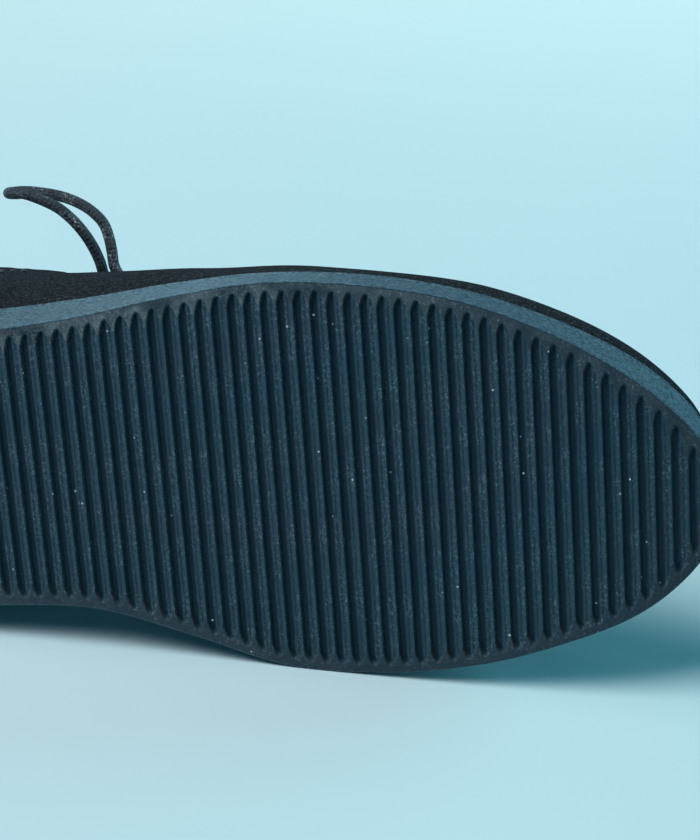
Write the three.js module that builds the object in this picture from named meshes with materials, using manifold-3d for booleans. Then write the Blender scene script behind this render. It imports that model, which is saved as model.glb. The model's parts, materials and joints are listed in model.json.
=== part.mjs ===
// A low lace-up shoe for the right foot: a ribbed wedge sole, a hollow suede upper and its laces.
// It is built standing: heel at x = 0, toe along +X, the inner side of the foot along +Y and the
// tread at z = 0. At the end it is laid on its inner side, the way it rests on a floor.
import * as THREE from "three";
import { mergeVertices } from "three/addons/utils/BufferGeometryUtils.js";
import { ConvexHull } from "three/addons/math/ConvexHull.js";
import Module from "manifold-3d";

const wasm = await Module();
wasm.setup();

// Driving sizes, in millimetres
const SOLE_LENGTH = 298;
const BALL_WIDTH = 107;
const HEEL_THICKNESS = 27;
const BALL_THICKNESS = 11;
const TOE_SPRING = 10;
const FIRST_GROOVE = 5.3;
const RIB_PITCH = 4.165;
const GROOVE_WIDTH = 1.8;
const GROOVE_DEPTH = 1.6;
const TREAD_RIM = 2.2;
const INSTEP_HEIGHT = 128;
const COLLAR_HEIGHT = 88;
const COLLAR_LOW = 85;
const RIDGE_BACK = 34;
const RIDGE_FRONT = 262;
const RIDGE_TO_INNER_SIDE = 2;
const FEATHER_INSET = 0.6;
const WALL = 2;
const CLEARANCE = 0.3;
const COLLAR_BAND_HEIGHT = 17;
const COLLAR_BAND_STEP = 1;
const COLLAR_BAND_FRONT = 122;
const BINDING_RADIUS = 1.9;
const BINDING_GAP = 0.5;
const THROAT_FRONT = 190;
const THROAT_GAP_TOP = 24;
const THROAT_GAP_FRONT = 15;
const THROAT_END_RADIUS = 7;
const FACING_WIDTH = 21;
const FACING_THICKNESS = 1.3;
const FACING_GAP = 0.5;
const FACING_FRONT_LAP = 7;
const TONGUE_WIDTH = 44;
const TONGUE_THICKNESS = 2.2;
const TONGUE_GAP = 1.2;
const TONGUE_BACK = 114;
const TONGUE_FRONT = 203;
const TONGUE_END_RADIUS = 13;
const INSOLE_THICKNESS = 3;
const INSOLE_MARGIN = 0.9;
const LACE_DIAMETER = 3.2;
const EYELET_ROWS = 4;
const FIRST_ROW = 142;
const ROW_SPACING = 13;
const EYELET_MARGIN = 8;
const EYELET_DIAMETER = 4.2;
const KNOT_AT = [137.4, 1, 94.4];
const KNOT_HALF_SIZE = [4.6, 5.6, 4.2];
const AGLET_LENGTH = 16;
const AGLET_DIAMETER = 3.8;

// Tread outline: y of the inner and outer edge, and how far the top edge leans out past the
// tread, all as shares of the ball width
const SOLE_OUTLINE = [
  { share: 0.0, inner: -0.02, outer: -0.02, lean: -0.004 },
  { share: 0.02, inner: 0.16, outer: -0.195, lean: -0.004 },
  { share: 0.05, inner: 0.252, outer: -0.283, lean: -0.004 },
  { share: 0.1, inner: 0.318, outer: -0.348, lean: -0.004 },
  { share: 0.168, inner: 0.346, outer: -0.374, lean: -0.004 },
  { share: 0.268, inner: 0.333, outer: -0.382, lean: -0.005 },
  { share: 0.359, inner: 0.32, outer: -0.39, lean: -0.006 },
  { share: 0.45, inner: 0.331, outer: -0.421, lean: -0.004 },
  { share: 0.537, inner: 0.407, outer: -0.469, lean: -0.01 },
  { share: 0.611, inner: 0.48, outer: -0.498, lean: -0.014 },
  { share: 0.695, inner: 0.5, outer: -0.49, lean: -0.009 },
  { share: 0.782, inner: 0.479, outer: -0.445, lean: -0.007 },
  { share: 0.861, inner: 0.422, outer: -0.352, lean: 0.001 },
  { share: 0.921, inner: 0.359, outer: -0.238, lean: 0.011 },
  { share: 0.963, inner: 0.273, outer: -0.12, lean: 0.009 },
  { share: 0.987, inner: 0.185, outer: -0.015, lean: 0.0 },
  { share: 1.0, inner: 0.075, outer: 0.075, lean: -0.002 },
];

// Side of the wedge: share of the heel's extra thickness, and of the toe spring, along the length
const SOLE_SIDE = [
  { share: 0.0, extra: 1.0, spring: 0.0 },
  { share: 0.2, extra: 0.88, spring: 0.0 },
  { share: 0.37, extra: 0.56, spring: 0.0 },
  { share: 0.54, extra: 0.25, spring: 0.0 },
  { share: 0.67, extra: 0.03, spring: 0.0 },
  { share: 0.79, extra: 0.0, spring: 0.0 },
  { share: 0.86, extra: 0.0, spring: 0.09 },
  { share: 0.93, extra: 0.0, spring: 0.41 },
  { share: 1.0, extra: 0.0, spring: 1.0 },
];

// Ridge of the last, from above the heel to above the toes: height as a share of the instep height
const RIDGE_LINE = [
  { share: 0.0, height: 1.0 },
  { share: 0.16, height: 0.969 },
  { share: 0.29, height: 0.875 },
  { share: 0.42, height: 0.75 },
  { share: 0.51, height: 0.664 },
  { share: 0.6, height: 0.578 },
  { share: 0.67, height: 0.512 },
  { share: 0.75, height: 0.449 },
  { share: 0.84, height: 0.391 },
  { share: 0.93, height: 0.34 },
  { share: 1.0, height: 0.305 },
];

// Cross sections of the last: fullness of the side and of the top, and how far the inner and the
// outer side swell out, as shares of the ball width
const LAST_SECTIONS = [
  { share: 0.0, side: 0.62, top: 0.62, inner: 0.023, outer: 0.023 },
  { share: 0.15, side: 0.6, top: 0.6, inner: 0.028, outer: 0.03 },
  { share: 0.36, side: 0.58, top: 0.56, inner: 0.028, outer: 0.039 },
  { share: 0.46, side: 0.56, top: 0.52, inner: 0.014, outer: 0.032 },
  { share: 0.54, side: 0.54, top: 0.5, inner: 0.003, outer: 0.012 },
  { share: 0.62, side: 0.53, top: 0.5, inner: -0.006, outer: -0.008 },
  { share: 0.7, side: 0.54, top: 0.52, inner: -0.006, outer: -0.012 },
  { share: 0.8, side: 0.62, top: 0.58, inner: 0.007, outer: 0.019 },
  { share: 0.88, side: 0.68, top: 0.62, inner: 0.021, outer: 0.028 },
  { share: 0.95, side: 0.7, top: 0.64, inner: 0.021, outer: 0.024 },
  { share: 1.0, side: 0.7, top: 0.64, inner: 0.017, outer: 0.017 },
];

// Top line of the collar along the length: height as a share of the collar height
const TOP_LINE = [
  { share: 0.0, height: 1.0 },
  { share: 0.08, height: 0.965 },
  { share: 0.2, height: 0.86 },
  { share: 0.29, height: 0.835 },
  { share: 0.37, height: 0.9 },
  { share: 0.43, height: 1.0 },
  { share: 0.5, height: 1.25 },
  { share: 1.0, height: 2.5 },
];

// Points of the free laces, chosen by hand. The outer loop stands over the collar and the outer end
// lies on its facing; the inner loop and end drop to the floor behind the shoe
const OUTER_LOOP = [
  [138.6, -5.2, 94.3], [137.2, -9.4, 95.6], [134.4, -15, 96.8], [129.8, -21, 96.6],
  [123.9, -24.9, 96.2], [121.7, -28.5, 96.6], [121.2, -32.8, 97.4], [120.4, -36.9, 98.6],
  [118.9, -40.7, 99.8], [115.6, -44.1, 100.8], [110.9, -46.9, 101.6], [105.3, -48.8, 102.1],
  [99.2, -49.9, 102.2], [96.9, -50.3, 101.7], [94.9, -50.7, 100.4], [93.6, -51.1, 98.4],
  [93.1, -51.6, 96.1], [93.6, -52.1, 93.8], [94.9, -52.5, 91.8], [96.9, -52.8, 90.5],
  [99.2, -52.9, 90], [107.9, -49, 90], [111.9, -45.5, 90.1], [115.1, -41.1, 90.6],
  [117.4, -36.2, 91.4], [118.6, -31.2, 92.8], [119, -26, 95], [121.6, -20.6, 98.4],
  [126, -13.9, 99.8], [130.5, -8.8, 98.4], [133.9, -4.8, 95.6],
];
const OUTER_END = [
  [139.6, -3.4, 98.3], [145.3, -14.8, 94.7], [148, -21, 89.8], [151, -25.6, 83.3],
  [154.5, -28.3, 77.3], [159.5, -29.5, 73.2], [166.2, -29.2, 70.2], [173.2, -28, 68.1],
  [180, -26.7, 65.8],
];
const INNER_LOOP = [
  [139.2, 6.9, 94.5], [138.7, 13, 96.8], [137.4, 20, 97.8], [135, 27.4, 98.6], [132, 33.8, 100.8],
  [128.8, 38.8, 104.2], [124.6, 41.4, 109], [119, 41, 113.6], [113, 40.3, 115.6], [107.6, 39.7, 113.4],
  [106, 39.6, 108.4], [109.4, 38.6, 103.8], [115, 34.6, 101], [120.6, 28.6, 99.6], [126, 21.6, 98.8],
  [131, 14.4, 98.2], [134.2, 6.9, 96.2],
];
const INNER_END = [
  [137.6, 6, 98.7], [140.6, 12, 100.2], [144.4, 20, 100.8], [148.2, 27.6, 100.4], [151.4, 34.8, 101.4],
  [154, 40.8, 104.4], [156, 44.4, 109.4], [157.8, 45.2, 115.4], [159.4, 45.2, 121.4],
];

const suede = new THREE.MeshStandardMaterial({ color: 0x1b1c1f, roughness: 0.95, metalness: 0 });
const lining = new THREE.MeshStandardMaterial({ color: 0x24262a, roughness: 0.8, metalness: 0 });
const rubber = new THREE.MeshStandardMaterial({ color: 0x24404d, roughness: 0.7, metalness: 0 });
const cord = new THREE.MeshStandardMaterial({ color: 0x17222c, roughness: 0.5, metalness: 0 });
const film = new THREE.MeshStandardMaterial({ color: 0x8a979c, roughness: 0.25, metalness: 0 });

// The angle that a share of a length stands for: 0 at the start, PI at the end. Rows spaced by it
// let an outline that closes at both ends have round ends.
const angleOf = (share) => Math.acos(1 - 2 * THREE.MathUtils.clamp(share, 0, 1));

// A smooth curve through one column of a table, as a function of that angle or of the bare share
const bareShare = (share) => THREE.MathUtils.clamp(share, 0, 1);
function curveThrough(table, name, place = angleOf) {
  const at = table.map((row) => place(row.share));
  const value = table.map((row) => row[name]);
  const last = at.length - 1;
  const step = (i) => at[i + 1] - at[i];
  const rate = (i) => (value[i + 1] - value[i]) / step(i);
  const slope = at.map((_, i) => {
    if (i === 0) return rate(0);
    if (i === last) return rate(last - 1);
    return (rate(i - 1) * step(i) + rate(i) * step(i - 1)) / (step(i) + step(i - 1));
  });
  return (where) => {
    let i = 0;
    while (i < last - 1 && where > at[i + 1]) i += 1;
    const u = THREE.MathUtils.clamp((where - at[i]) / step(i), 0, 1);
    const squared = u * u;
    const cubed = squared * u;
    return (2 * cubed - 3 * squared + 1) * value[i] + (cubed - 2 * squared + u) * step(i) * slope[i]
      + (3 * squared - 2 * cubed) * value[i + 1] + (cubed - squared) * step(i) * slope[i + 1];
  };
}

const innerEdge = curveThrough(SOLE_OUTLINE, "inner");
const outerEdge = curveThrough(SOLE_OUTLINE, "outer");
const edgeLean = curveThrough(SOLE_OUTLINE, "lean");
const heelExtra = curveThrough(SOLE_SIDE, "extra", bareShare);
const springShare = curveThrough(SOLE_SIDE, "spring", bareShare);
const ridgeShare = curveThrough(RIDGE_LINE, "height", bareShare);
const sideFullness = curveThrough(LAST_SECTIONS, "side");
const topFullness = curveThrough(LAST_SECTIONS, "top");
const innerSwell = curveThrough(LAST_SECTIONS, "inner");
const outerSwell = curveThrough(LAST_SECTIONS, "outer");
const topLineShare = curveThrough(TOP_LINE, "height", bareShare);

const treadHeight = (x) => TOE_SPRING * springShare(x / SOLE_LENGTH);
const soleTop = (x) => treadHeight(x) + BALL_THICKNESS
  + (HEEL_THICKNESS - BALL_THICKNESS) * heelExtra(x / SOLE_LENGTH);
const topLine = (x) => COLLAR_HEIGHT * topLineShare(x / SOLE_LENGTH);

// A turn round the shoe goes from the toe (0) along the inner side to the heel (PI), and back
// along the outer side to the toe (2 PI)
const onInnerSide = (turn) => turn <= Math.PI;
const tableAngle = (turn) => Math.abs(Math.PI - turn);

function outlinePoint(turn) {
  const angle = tableAngle(turn);
  const share = onInnerSide(turn) ? innerEdge(angle) : outerEdge(angle);
  return new THREE.Vector2(SOLE_LENGTH * (1 - Math.cos(angle)) / 2, share * BALL_WIDTH);
}

// The outward direction of the outline in plan
function outlineNormal(turn) {
  const nudge = 1e-3;
  const full = 2 * Math.PI;
  const along = outlinePoint((turn + nudge) % full).sub(outlinePoint((turn - nudge + full) % full));
  return new THREE.Vector2(along.y, -along.x).normalize();
}

// The upper edge of the sole's side, moved out by a distance
function soleTopEdge(turn, grow) {
  const lean = edgeLean(tableAngle(turn)) * BALL_WIDTH;
  return outlinePoint(turn).addScaledVector(outlineNormal(turn), lean + grow);
}

// A point of the ridge, at a share of its length from back to front
function ridgePoint(share) {
  const x = RIDGE_BACK + (RIDGE_FRONT - RIDGE_BACK) * share;
  const angle = angleOf(x / SOLE_LENGTH);
  const middle = BALL_WIDTH * (innerEdge(angle) + outerEdge(angle)) / 2;
  return new THREE.Vector3(x, middle + RIDGE_TO_INNER_SIDE, INSTEP_HEIGHT * ridgeShare(share));
}
const ridgeShareAt = (turn) => (1 + Math.cos(turn)) / 2;

// How steeply the ridge climbs towards the toe, at a share of its length
function ridgeSlope(share) {
  const nudge = 1e-3;
  const ahead = ridgePoint(Math.min(1, share + nudge));
  const behind = ridgePoint(Math.max(0, share - nudge));
  return (ahead.z - behind.z) / (ahead.x - behind.x);
}
const turnOfRidge = (x) => Math.acos(2 * (x - RIDGE_BACK) / (RIDGE_FRONT - RIDGE_BACK) - 1);

// The last's surface: a cubic curve that climbs from the sole's edge (rise 0) to the ridge (rise 1)
function lastSurface(turn, rise) {
  const out = outlineNormal(turn);
  const foot = soleTopEdge(turn, -FEATHER_INSET);
  const start = new THREE.Vector3(foot.x, foot.y, soleTop(foot.x));
  const end = ridgePoint(ridgeShareAt(turn));
  const angle = tableAngle(turn);
  const swell = BALL_WIDTH * (onInnerSide(turn) ? innerSwell(angle) : outerSwell(angle));
  const side = new THREE.Vector3(
    start.x + swell * out.x,
    start.y + swell * out.y,
    start.z + sideFullness(angle) * (end.z - start.z),
  );
  const top = new THREE.Vector3(start.x, start.y, end.z).lerp(end, 1 - topFullness(angle));
  top.z += ridgeSlope(ridgeShareAt(turn)) * (top.x - end.x);
  const rest = 1 - rise;
  return new THREE.Vector3()
    .addScaledVector(start, rest * rest * rest)
    .addScaledVector(side, 3 * rise * rest * rest)
    .addScaledVector(top, 3 * rise * rise * rest)
    .addScaledVector(end, rise * rise * rise);
}

// The outward direction of the last's surface
function lastNormal(turn, rise) {
  const nudge = 1e-3;
  if (rise > 1 - nudge) return new THREE.Vector3(-ridgeSlope(ridgeShareAt(turn)), 0, 1).normalize();
  const full = 2 * Math.PI;
  const around = lastSurface((turn + nudge) % full, rise);
  around.sub(lastSurface((turn - nudge + full) % full, rise));
  const up = lastSurface(turn, rise + nudge).sub(lastSurface(turn, rise));
  return around.cross(up).normalize();
}
const onLast = (turn, rise, out) => lastSurface(turn, rise).addScaledVector(lastNormal(turn, rise), out);

// The rise at which a test that grows with the rise passes zero, or 1 if it never does
function riseWhere(test) {
  if (test(1) < 0) return 1;
  let low = 0;
  let high = 1;
  for (let i = 0; i < 30; i += 1) {
    const middle = (low + high) / 2;
    if (test(middle) < 0) low = middle;
    else high = middle;
  }
  return high;
}

// The rise at a distance from the ridge
function riseFromRidge(turn, distance) {
  const crest = ridgePoint(ridgeShareAt(turn));
  return riseWhere((rise) => distance - lastSurface(turn, rise).distanceTo(crest));
}

// Half the gap between the facings, closed in a round end at the front of the throat
function throatHalfGap(x) {
  if (x >= THROAT_FRONT) return 0;
  const share = THREE.MathUtils.clamp((THROAT_FRONT - x) / (THROAT_FRONT - COLLAR_BAND_FRONT), 0, 1);
  const half = THREE.MathUtils.lerp(THROAT_GAP_FRONT, THROAT_GAP_TOP, share) / 2;
  const past = Math.max(0, x - (THROAT_FRONT - THROAT_END_RADIUS)) / THROAT_END_RADIUS;
  return half * Math.sqrt(1 - past * past);
}
function riseAtCollar(turn) {
  return riseWhere((rise) => {
    const point = lastSurface(turn, rise);
    return point.z - topLine(point.x);
  });
}
const riseAtThroat = (turn) => riseFromRidge(turn, throatHalfGap(ridgePoint(ridgeShareAt(turn)).x));
const riseOfOpening = (turn) => Math.min(riseAtCollar(turn), riseAtThroat(turn));

// The turn of the facings' top corner, where the collar meets the throat
function cornerTurn() {
  let low = turnOfRidge(THROAT_FRONT);
  let high = Math.PI;
  for (let i = 0; i < 30; i += 1) {
    const middle = (low + high) / 2;
    if (riseAtCollar(middle) < riseAtThroat(middle)) high = middle;
    else low = middle;
  }
  return (low + high) / 2;
}
const CORNER_TURN = cornerTurn();
const THROAT_TURN = turnOfRidge(THROAT_FRONT);

// Turns from stop to stop in even steps, then mirrored to the outer side
function turnsThrough(stops, counts) {
  const half = [stops[0]];
  counts.forEach((count, i) => {
    for (let k = 1; k <= count; k += 1) half.push(THREE.MathUtils.lerp(stops[i], stops[i + 1], k / count));
  });
  const back = half.slice(1, -1).reverse().map((turn) => 2 * Math.PI - turn);
  return half.concat(back);
}

// A closed mesh from a list of flat polygons given by their corners
function closedGeometry(polygons) {
  const positions = [];
  for (const corners of polygons) {
    for (let i = 2; i < corners.length; i += 1) {
      for (const corner of [corners[0], corners[i - 1], corners[i]]) positions.push(corner.x, corner.y, corner.z);
    }
  }
  const soup = new THREE.BufferGeometry();
  soup.setAttribute("position", new THREE.Float32BufferAttribute(positions, 3));
  const merged = mergeVertices(soup, 1e-3);
  const index = merged.index.array;
  const kept = [];
  for (let i = 0; i < index.length; i += 3) {
    const [a, b, c] = [index[i], index[i + 1], index[i + 2]];
    if (a !== b && b !== c && c !== a) kept.push(a, b, c);
  }
  merged.setIndex(kept);
  return merged;
}

// A wall between two grids of points, closed along its open borders. The grids' rows run round
// the shoe and their columns climb, and a wrapped grid's last row joins its first.
function wallBetween(outside, inside, wrapped) {
  const polygons = [];
  const rows = outside.length;
  const columns = outside[0].length;
  const lastRow = wrapped ? rows : rows - 1;
  for (let i = 0; i < lastRow; i += 1) {
    const next = (i + 1) % rows;
    for (let j = 0; j < columns - 1; j += 1) {
      polygons.push([outside[i][j], outside[next][j], outside[next][j + 1], outside[i][j + 1]]);
      polygons.push([inside[i][j], inside[i][j + 1], inside[next][j + 1], inside[next][j]]);
    }
    const end = columns - 1;
    polygons.push([outside[i][0], inside[i][0], inside[next][0], outside[next][0]]);
    const mirror = wrapped ? rows - i : -1;
    const closed = mirror >= 0
      && outside[i][end].distanceTo(outside[mirror % rows][end]) < 1e-3
      && outside[next][end].distanceTo(outside[(rows - i - 1) % rows][end]) < 1e-3;
    if (!closed) polygons.push([outside[i][end], outside[next][end], inside[next][end], inside[i][end]]);
  }
  if (!wrapped) {
    for (let j = 0; j < columns - 1; j += 1) {
      const far = rows - 1;
      polygons.push([outside[0][j], outside[0][j + 1], inside[0][j + 1], inside[0][j]]);
      polygons.push([outside[far][j], inside[far][j], inside[far][j + 1], outside[far][j + 1]]);
    }
  }
  return closedGeometry(polygons);
}

function toSolid(geometry) {
  const plain = geometry.clone();
  plain.deleteAttribute("normal");
  plain.deleteAttribute("uv");
  const merged = mergeVertices(plain, 1e-4);
  return new wasm.Manifold(new wasm.Mesh({
    numProp: 3,
    vertProperties: merged.attributes.position.array,
    triVerts: new Uint32Array(merged.index.array),
  }));
}

function toGeometry(solid) {
  const mesh = solid.getMesh();
  const geometry = new THREE.BufferGeometry();
  geometry.setAttribute("position", new THREE.BufferAttribute(mesh.vertProperties, 3));
  geometry.setIndex(new THREE.BufferAttribute(mesh.triVerts, 1));
  return geometry;
}

const evenly = (count, low, high) => Array.from({ length: count + 1 }, (_, i) => low + (high - low) * i / count);

// Outsole: one moulded wedge. Its grooves run straight across and stop short of the rim.
function outsole() {
  const stations = [];
  const addStation = (x, depth) => stations.push({ x, depth });
  const roundEnd = [0.15, 1.1, 2.8];
  const grooves = Math.floor((SOLE_LENGTH - 2 * FIRST_GROOVE) / RIB_PITCH);
  roundEnd.forEach((x) => addStation(x, 0));
  for (let i = 0; i <= grooves; i += 1) {
    const middle = FIRST_GROOVE + i * RIB_PITCH;
    addStation(middle - GROOVE_WIDTH / 2, 0);
    addStation(middle, GROOVE_DEPTH);
    addStation(middle + GROOVE_WIDTH / 2, 0);
  }
  const lastGroove = stations[stations.length - 1].x;
  roundEnd.slice().reverse().map((x) => SOLE_LENGTH - x)
    .filter((x) => x > lastGroove + 0.5)
    .forEach((x) => addStation(x, 0));

  const sections = stations.map(({ x, depth }) => {
    const angle = angleOf(x / SOLE_LENGTH);
    const turns = [Math.PI + angle, Math.PI - angle];
    const edges = turns.map((turn) => outlinePoint(turn));
    const tops = turns.map((turn) => soleTopEdge(turn, 0));
    const rims = turns.map((turn) => TREAD_RIM / Math.max(0.2, Math.abs(outlineNormal(turn).y)));
    const middle = (edges[0].y + edges[1].y) / 2;
    const rimFlat = depth > 0 ? 0 : 1.1;
    const rounding = 2.2;
    const across = [
      Math.min(edges[0].y + rims[0] + rimFlat, middle - 1),
      Math.min(edges[0].y + rims[0] + rimFlat + rounding, middle - 0.5),
      Math.max(edges[1].y - rims[1] - rimFlat - rounding, middle + 0.5),
      Math.max(edges[1].y - rims[1] - rimFlat, middle + 1),
    ];
    const tread = treadHeight(x);
    const top = (point) => new THREE.Vector3(point.x, point.y, soleTop(point.x));
    return [
      top(tops[0]),
      new THREE.Vector3(x, edges[0].y, tread),
      new THREE.Vector3(x, across[0], tread),
      new THREE.Vector3(x, across[1], tread + depth),
      new THREE.Vector3(x, across[2], tread + depth),
      new THREE.Vector3(x, across[3], tread),
      new THREE.Vector3(x, edges[1].y, tread),
      top(tops[1]),
    ];
  });
  return loft(sections);
}

// A closed mesh through sections that all have the same number of corners
function loft(sections) {
  const polygons = [sections[0].slice().reverse(), sections[sections.length - 1]];
  for (let i = 0; i < sections.length - 1; i += 1) {
    const near = sections[i];
    const far = sections[i + 1];
    near.forEach((_, k) => {
      const next = (k + 1) % near.length;
      polygons.push([near[k], near[next], far[next], far[k]]);
    });
  }
  return closedGeometry(polygons);
}

// Insole: a thin sock that fills the floor of the upper
function insole() {
  const margin = FEATHER_INSET + WALL + INSOLE_MARGIN;
  const sections = evenly(26, 0.12, Math.PI - 0.12).map((angle) => {
    const edges = [Math.PI + angle, Math.PI - angle].map((turn) => soleTopEdge(turn, -margin));
    const base = edges.map((edge) => new THREE.Vector3(edge.x, edge.y, soleTop(edge.x) + CLEARANCE));
    const lift = new THREE.Vector3(0, 0, INSOLE_THICKNESS);
    return [base[0].clone().add(lift), base[0], base[1], base[1].clone().add(lift)];
  });
  return loft(sections);
}

// Centre of an eyelet, in its row (0 at the collar) and on its side
function eyelet(row, inner) {
  const x = FIRST_ROW + row * ROW_SPACING;
  const turn = turnOfRidge(x);
  const rise = riseFromRidge(turn, throatHalfGap(x) + EYELET_MARGIN);
  return { turn: inner ? turn : 2 * Math.PI - turn, rise };
}

function eyeletPunches() {
  const punches = [];
  for (let row = 0; row < EYELET_ROWS; row += 1) {
    for (const inner of [true, false]) {
      const { turn, rise } = eyelet(row, inner);
      const punch = new THREE.CylinderGeometry(EYELET_DIAMETER / 2, EYELET_DIAMETER / 2, 14, 8);
      const turned = new THREE.Quaternion();
      turned.setFromUnitVectors(new THREE.Vector3(0, 1, 0), lastNormal(turn, rise));
      punch.applyQuaternion(turned);
      const centre = onLast(turn, rise, 0);
      punch.translate(centre.x, centre.y, centre.z);
      punches.push(toSolid(punch));
    }
  }
  return punches;
}
const PUNCHES = eyeletPunches();
const punched = (solid) => toGeometry(PUNCHES.reduce((left, punch) => left.subtract(punch), solid));

// Upper: one hollow wall from the sole's edge to the opening, closed along the ridge in front of
// the throat, with the padded collar band raised from it
function upper() {
  const rises = evenly(8, 0, 1);
  const turns = turnsThrough([0, THROAT_TURN, CORNER_TURN, turnOfRidge(COLLAR_LOW), Math.PI], [11, 9, 8, 9]);
  const lift = new THREE.Vector3(0, 0, CLEARANCE);
  const grid = (out) => turns.map((turn) => {
    const opening = riseOfOpening(turn);
    return rises.map((rise) => onLast(turn, rise * opening, out).add(lift));
  });
  return punched(toSolid(wallBetween(grid(0), grid(-WALL), true)).add(toSolid(collarBand())));
}

// The raised band along the collar, with round front ends behind the facings
function collarBand() {
  const reach = Math.PI - turnOfRidge(COLLAR_BAND_FRONT);
  const drops = evenly(4, 0, 1);
  const turnsAcross = evenly(28, -1, 1);
  const lift = new THREE.Vector3(0, 0, CLEARANCE);
  const grid = (out) => turnsAcross.map((across) => drops.map((drop) => {
    const rounding = Math.sqrt(1 - 0.97 * (1 - drop) ** 2);
    const turn = Math.PI + across * reach * (0.9 + 0.1 * rounding);
    const opening = riseOfOpening(turn);
    const fullHeight = lastSurface(turn, opening).z - soleTop(lastSurface(turn, 0).x);
    const bandShare = COLLAR_BAND_HEIGHT / fullHeight;
    const rise = opening * (1 - bandShare * (1 - drop) - 0.008);
    return onLast(turn, rise, out).add(lift);
  }));
  return wallBetween(grid(COLLAR_BAND_STEP), grid(-WALL / 2), false);
}

// Facing: the stitched-on panel beside the throat, with the eyelets punched through it
function facing(inner) {
  const back = CORNER_TURN;
  const front = turnOfRidge(THROAT_FRONT + FACING_FRONT_LAP);
  const along = evenly(14, 0, 1);
  const across = evenly(4, 0, 1);
  const lift = new THREE.Vector3(0, 0, CLEARANCE);
  const grid = (out) => along.map((share) => {
    const turn = THREE.MathUtils.lerp(back, front, share);
    const x = ridgePoint(ridgeShareAt(turn)).x;
    const past = Math.max(0, (share - 0.72) / 0.28);
    const width = FACING_WIDTH * (0.25 + 0.75 * Math.sqrt(1 - past * past));
    const edge = Math.max(throatHalfGap(x), THROAT_GAP_FRONT / 2 * Math.min(1, 0.55 + 0.45 * share));
    const clear = edge + 0.4;
    return across.map((step) => {
      const rise = riseFromRidge(turn, clear + width * (1 - step));
      const side = inner ? turn : 2 * Math.PI - turn;
      return onLast(side, Math.min(rise, riseOfOpening(side) - 0.004), out).add(lift);
    });
  });
  const raised = grid(FACING_GAP + FACING_THICKNESS);
  const base = grid(FACING_GAP);
  if (!inner) return punched(toSolid(wallBetween(raised, base, false)));
  return punched(toSolid(wallBetween(raised.reverse(), base.reverse(), false)));
}

// Collar binding: a rolled edge that covers the rim of the collar from corner to corner
function binding() {
  const middleOfWall = (COLLAR_BAND_STEP - WALL) / 2;
  const nudge = 0.01;
  const rimPoint = (turn) => onLast(turn, riseAtCollar(turn), middleOfWall);
  const turns = evenly(44, CORNER_TURN + 0.02, 2 * Math.PI - CORNER_TURN - 0.02);
  const path = turns.map((turn) => {
    const along = rimPoint(turn + nudge).sub(rimPoint(turn - nudge));
    const away = lastNormal(turn, riseAtCollar(turn)).cross(along).normalize();
    return rimPoint(turn).addScaledVector(away, BINDING_RADIUS + BINDING_GAP + CLEARANCE);
  });
  return tube(path, BINDING_RADIUS, 7, 44);
}

// Tongue: a padded leaf under the facings that stands up past the collar
function tongue() {
  const along = evenly(13, TONGUE_FRONT, TONGUE_BACK);
  const across = evenly(8, -1, 1);
  const top = -(WALL + TONGUE_GAP);
  const grid = (out) => along.map((x) => {
    const past = Math.max(0, TONGUE_BACK + TONGUE_END_RADIUS - x) / TONGUE_END_RADIUS;
    const half = TONGUE_WIDTH / 2 * (0.35 + 0.65 * Math.sqrt(1 - past * past));
    return across.map((step) => {
      const turn = turnOfRidge(x);
      const rise = step === 0 ? 1 : riseFromRidge(turn, Math.abs(step) * half);
      return onLast(step < 0 ? 2 * Math.PI - turn : turn, rise, out);
    });
  });
  return wallBetween(grid(top).reverse(), grid(top - TONGUE_THICKNESS).reverse(), false);
}

// A round cord along hand-picked or computed points
function tube(points, radius, sides, steps) {
  const circle = new THREE.Shape(Array.from({ length: sides }, (_, i) => {
    const angle = 2 * Math.PI * i / sides;
    return new THREE.Vector2(radius * Math.cos(angle), radius * Math.sin(angle));
  }));
  const path = new THREE.CatmullRomCurve3(points, false, "centripetal");
  return new THREE.ExtrudeGeometry(circle, { steps, extrudePath: path, bevelEnabled: false });
}

// Lace bar: the stretch of lace that crosses the throat from eyelet to eyelet
function laceBar(row) {
  const height = FACING_GAP + FACING_THICKNESS + LACE_DIAMETER / 2 + 2 * CLEARANCE;
  const ends = [eyelet(row, false), eyelet(row, true)];
  const points = [];
  for (const step of evenly(8, -1, 1)) {
    const { turn, rise } = step < 0 ? ends[0] : ends[1];
    const distance = Math.abs(step) * lastSurface(turn, rise).distanceTo(ridgePoint(ridgeShareAt(turn)));
    points.push(onLast(turn, step === 0 ? 1 : riseFromRidge(turn, distance), height));
  }
  return tube(points, LACE_DIAMETER / 2, 7, 8);
}

function knot() {
  const lump = new THREE.SphereGeometry(1, 12, 8);
  lump.scale(...KNOT_HALF_SIZE);
  lump.translate(...KNOT_AT);
  return lump;
}

const pointsOf = (rows) => rows.map((row) => new THREE.Vector3(...row));
const freeLace = (rows, steps) => tube(pointsOf(rows), LACE_DIAMETER / 2, 7, steps);

// Aglet: the film sleeve on a lace's end, in line with the lace's last stretch
function aglet(rows) {
  const [before, end] = pointsOf(rows).slice(-2);
  const along = end.clone().sub(before).normalize();
  const sleeve = new THREE.CylinderGeometry(AGLET_DIAMETER / 2, AGLET_DIAMETER / 2, AGLET_LENGTH, 10);
  sleeve.applyQuaternion(new THREE.Quaternion().setFromUnitVectors(new THREE.Vector3(0, 1, 0), along));
  const centre = end.clone().addScaledVector(along, CLEARANCE + AGLET_LENGTH / 2);
  return sleeve.translate(centre.x, centre.y, centre.z);
}

const shoe = new THREE.Group();
function addPiece(name, geometry, material) {
  const mesh = new THREE.Mesh(geometry, material);
  mesh.name = name;
  shoe.add(mesh);
  return mesh;
}

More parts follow.
